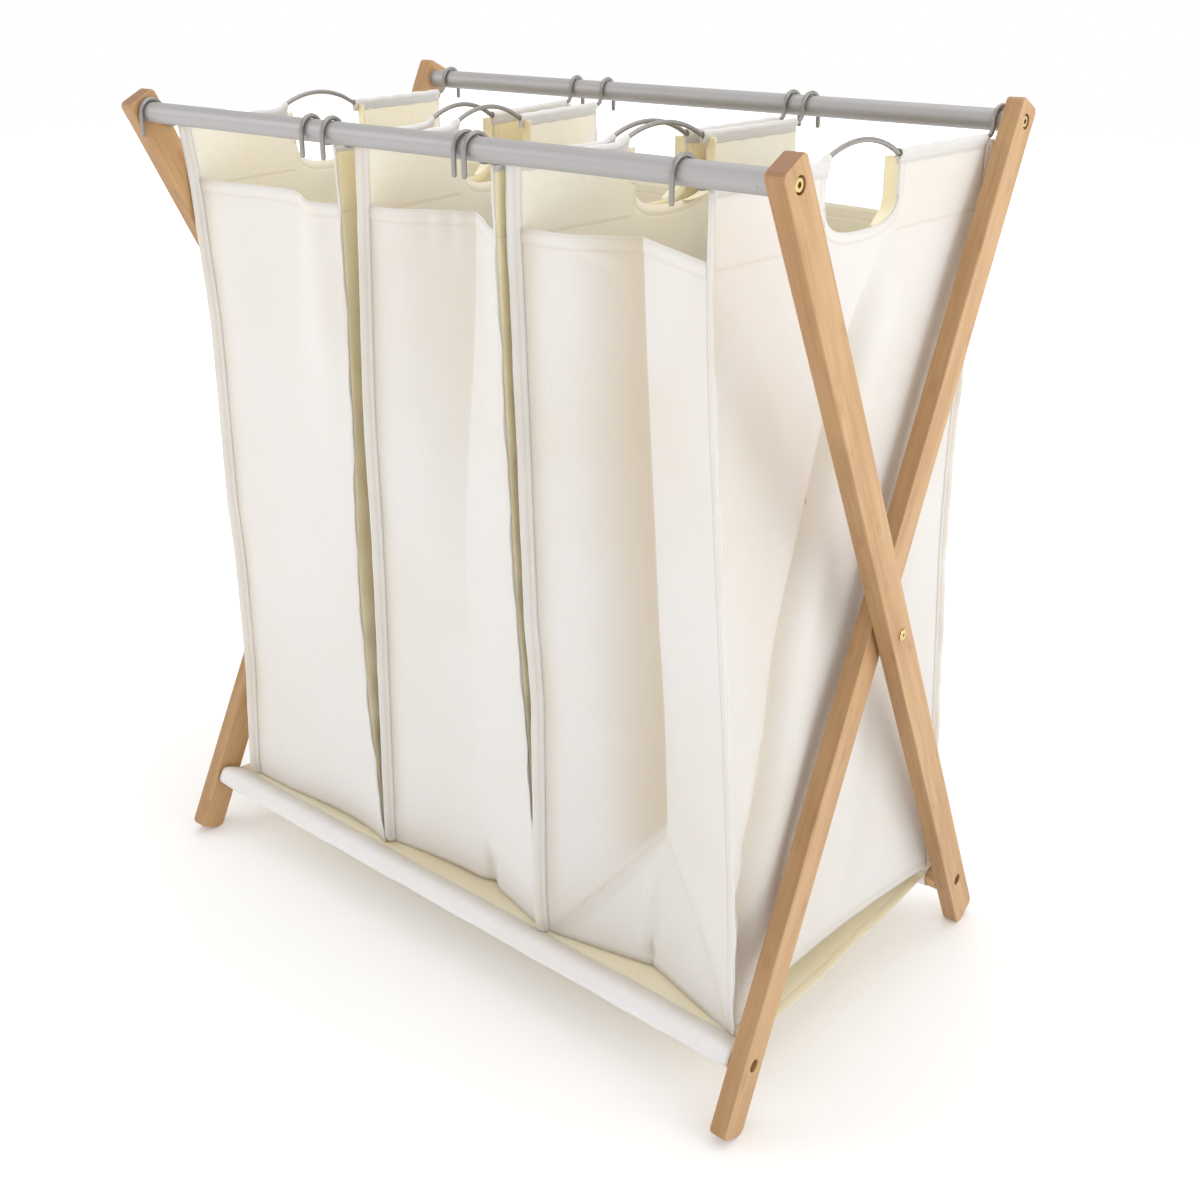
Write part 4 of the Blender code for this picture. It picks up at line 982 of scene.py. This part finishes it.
patches = []
frontSleeve = basePoints(np.concatenate([ring, ring[:1]]), baseCloth["swell"])
rearRing = np.concatenate([ring, ring[:1]]) * [-1.0, 1.0]
rearSleeve = basePoints(rearRing, baseCloth["swell"])
far = np.full(frontSleeve.shape[:2], 1.0)
along = frontSleeve[..., 0]
girth = np.broadcast_to(np.linspace(0.0, 0.08, len(ring) + 1)[:, None], far.shape)
stitchAt = np.broadcast_to((np.minimum(np.arange(len(ring) + 1),
                                       len(ring) - np.arange(len(ring) + 1)) * 0.0011 - 0.0045)
                           [:, None], far.shape)
# painted shade: beige on each sleeve's top, fading over the first rows from its root
sleeveShade = baseCloth["sleeveShadeShare"] * (
    1.0 - smooth(np.arange(len(ring) + 1) / baseCloth["sleeveShadeRows"]))[:, None]
patches.append(makePatch(frontSleeve, stitchAt, along, along, girth, False, 0, sleeveShade))
patches.append(makePatch(rearSleeve, stitchAt, along, along, girth, True, 0, sleeveShade))
sheetShare = np.linspace(0.0, 1.0, 61)
sheetY = root[0] * (1.0 - 2.0 * sheetShare)
sheetX = baseX(sheetY[:, None], xShare[None])
sheetZ = root[1] - baseCloth["sag"] * (1.0 - (sheetY / root[0]) ** 2)
fade = (1.0 - (sheetY / root[0]) ** 4)[:, None]
wrinkle = 0.0009 * np.sin(sheetX * 43.0 + 2.0 * np.sin(sheetY[:, None] * 21.0)) * fade
wrinkle = wrinkle + 0.0006 * np.sin(sheetX * 19.0 + sheetY[:, None] * 55.0) * fade
sheetPoints = np.stack([sheetX, np.broadcast_to(sheetY[:, None], sheetX.shape),
                        sheetZ[:, None] + wrinkle - 0.0008 * fade], -1)
# its long edges start just under the sleeves' root lines, so the two are not merged
startGap = frontSleeve[0] - sheetPoints[0] - [0.0, 0.0, baseCloth["rootGap"]]
endGap = rearSleeve[0] - sheetPoints[-1] - [0.0, 0.0, baseCloth["rootGap"]]
share3 = sheetShare[:, None, None]
sheetPoints += startGap[None] * (1.0 - share3) ** 6 + endGap[None] * share3 ** 6
edgeAway = np.minimum(xShare, 1.0 - xShare) * 0.64 - 0.008
patches.append(makePatch(sheetPoints, np.broadcast_to(edgeAway[None], sheetX.shape),
                         sheetPoints[..., 1], sheetX, sheetPoints[..., 1], False, 1))
base = joinPatches("base_sheet", patches)
repair(base, merge=baseCloth["merge"])
thicken(base, baseCloth["cloth"], 0.0)
# sleeves in the lighter copy, painted light; sheet in the beige copy, painted shade
dress(base, canvasSleeveLit, canvasBaseShaded)
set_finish(base, "base_canvas")
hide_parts("base_cloth")
girthSteps = np.diff(np.concatenate([ring, ring[:1]]), axis=0)
girthLength = float(np.linalg.norm(girthSteps, axis=1).sum())
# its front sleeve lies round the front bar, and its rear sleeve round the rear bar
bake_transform(base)
print("base cloth made")

studioFloor = {
    "half": 6.0, "gloss": 0.1, "roughness": 0.9, "cloudScale": 3.0,
    "light": (0.94, 0.94, 0.94, 1.0), "dark": (0.92, 0.92, 0.92, 1.0),
    "glowFrom": 0.6, "glowTo": 2.6, "glowGain": 0.50, "glowLeast": 0.10,
}
floorMesh = bpy.data.meshes.new("studio_floor")
size = studioFloor["half"]
floorMesh.from_pydata([(-size, -size, 0.0), (size, -size, 0.0), (size, size, 0.0),
                       (-size, size, 0.0)], [], [(0, 1, 2, 3)])
floorObj = bpy.data.objects.new("studio_floor", floorMesh)
bpy.context.scene.collection.objects.link(floorObj)
floorLook = Look("floorPale")
floorLook.shader.inputs["Specular IOR Level"].default_value = studioFloor["gloss"]
floorSpot = floorLook.place()
floorCloud = floorLook.noise(floorSpot, studioFloor["cloudScale"], 2.0)
# painted light: the floor glows more with distance from the sorter, and a little everywhere, which
# pales its shadow
floorReach = floorLook.add("ShaderNodeVectorMath", {0: floorSpot},
                           operation="LENGTH").outputs["Value"]
floorBand = floorLook.band(floorReach, studioFloor["glowFrom"], studioFloor["glowTo"])
floorLook.shader.inputs["Emission Color"].default_value = (1.0, 1.0, 1.0, 1.0)
floorLook.give(floorLook.shader.inputs["Emission Strength"],
               floorLook.sum("MULTIPLY_ADD", floorBand, studioFloor["glowGain"],
                             studioFloor["glowLeast"]))
floorColor = floorLook.mix(floorCloud, studioFloor["dark"], studioFloor["light"])
dress(floorObj, floorLook.finish(floorColor, studioFloor["roughness"]))

studioSky = {
    "color": (1.0, 0.99, 0.98, 1.0), "power": 0.84,
    "backdrop": (1.0, 1.0, 1.0, 1.0), "backdropPower": 1.0,      # seen by the camera only
}
world = bpy.data.worlds.new("studio")
bpy.context.scene.world = world
world.use_nodes = True
sky = world.node_tree
plain = sky.nodes["Background"]
plain.inputs[0].default_value = studioSky["color"]
plain.inputs[1].default_value = studioSky["power"]
backdrop = sky.nodes.new("ShaderNodeBackground")
backdrop.inputs[0].default_value = studioSky["backdrop"]
backdrop.inputs[1].default_value = studioSky["backdropPower"]
sight = sky.nodes.new("ShaderNodeLightPath")
either = sky.nodes.new("ShaderNodeMixShader")
sky.links.new(sight.outputs["Is Camera Ray"], either.inputs[0])
sky.links.new(plain.outputs[0], either.inputs[1])
sky.links.new(backdrop.outputs[0], either.inputs[2])
sky.links.new(either.outputs[0], sky.nodes["World Output"].inputs[0])

studioLights = {
    "keyLeft": {"at": (-2.6, -2.3, 2.0), "to": (0.0, 0.0, 0.4), "size": 1.2, "power": 18.0},
    "keyRight": {"at": (2.6, 0.5, 1.6), "to": (0.0, 0.0, 0.4), "size": 1.6, "power": 15.0},
    "top": {"at": (0.0, 0.6, 3.0), "to": (0.0, 0.0, 0.3), "size": 2.4, "power": 20.0},
}
for name, light in studioLights.items():
    data = bpy.data.lights.new(name, "AREA")
    data.energy = light["power"]
    data.size = light["size"]
    obj = bpy.data.objects.new(name, data)
    obj.location = light["at"]
    toward = Vector(light["to"]) - Vector(light["at"])
    obj.rotation_euler = toward.to_track_quat("-Z", "Y").to_euler()
    bpy.context.scene.collection.objects.link(obj)

cameraView = {
    "at": (0.7955, -0.9524, 0.9007), "azimuth": 40.3161, "elevation": 19.5945, "roll": -0.508,
    "lens": 42.903, "shift": (0.0409, -0.1268),
}
cameraData = bpy.data.cameras.new("camera")
cameraData.sensor_width = 36.0
cameraData.lens = cameraView["lens"]
cameraData.shift_x, cameraData.shift_y = cameraView["shift"]
cameraData.clip_start = 0.05
camera = bpy.data.objects.new("camera", cameraData)
azimuth, elevation = math.radians(cameraView["azimuth"]), math.radians(cameraView["elevation"])
ahead = Vector((-math.sin(azimuth) * math.cos(elevation), math.cos(azimuth) * math.cos(elevation),
                -math.sin(elevation)))
turned = ahead.to_track_quat("-Z", "Y").to_matrix()
turned = turned @ Matrix.Rotation(math.radians(cameraView["roll"]), 3, "Z")
camera.matrix_world = Matrix.Translation(cameraView["at"]) @ turned.to_4x4()
bpy.context.scene.collection.objects.link(camera)
bpy.context.scene.camera = camera
bpy.context.scene.view_settings.view_transform = "Standard"
bpy.context.view_layer.update()
print("light and camera placed")
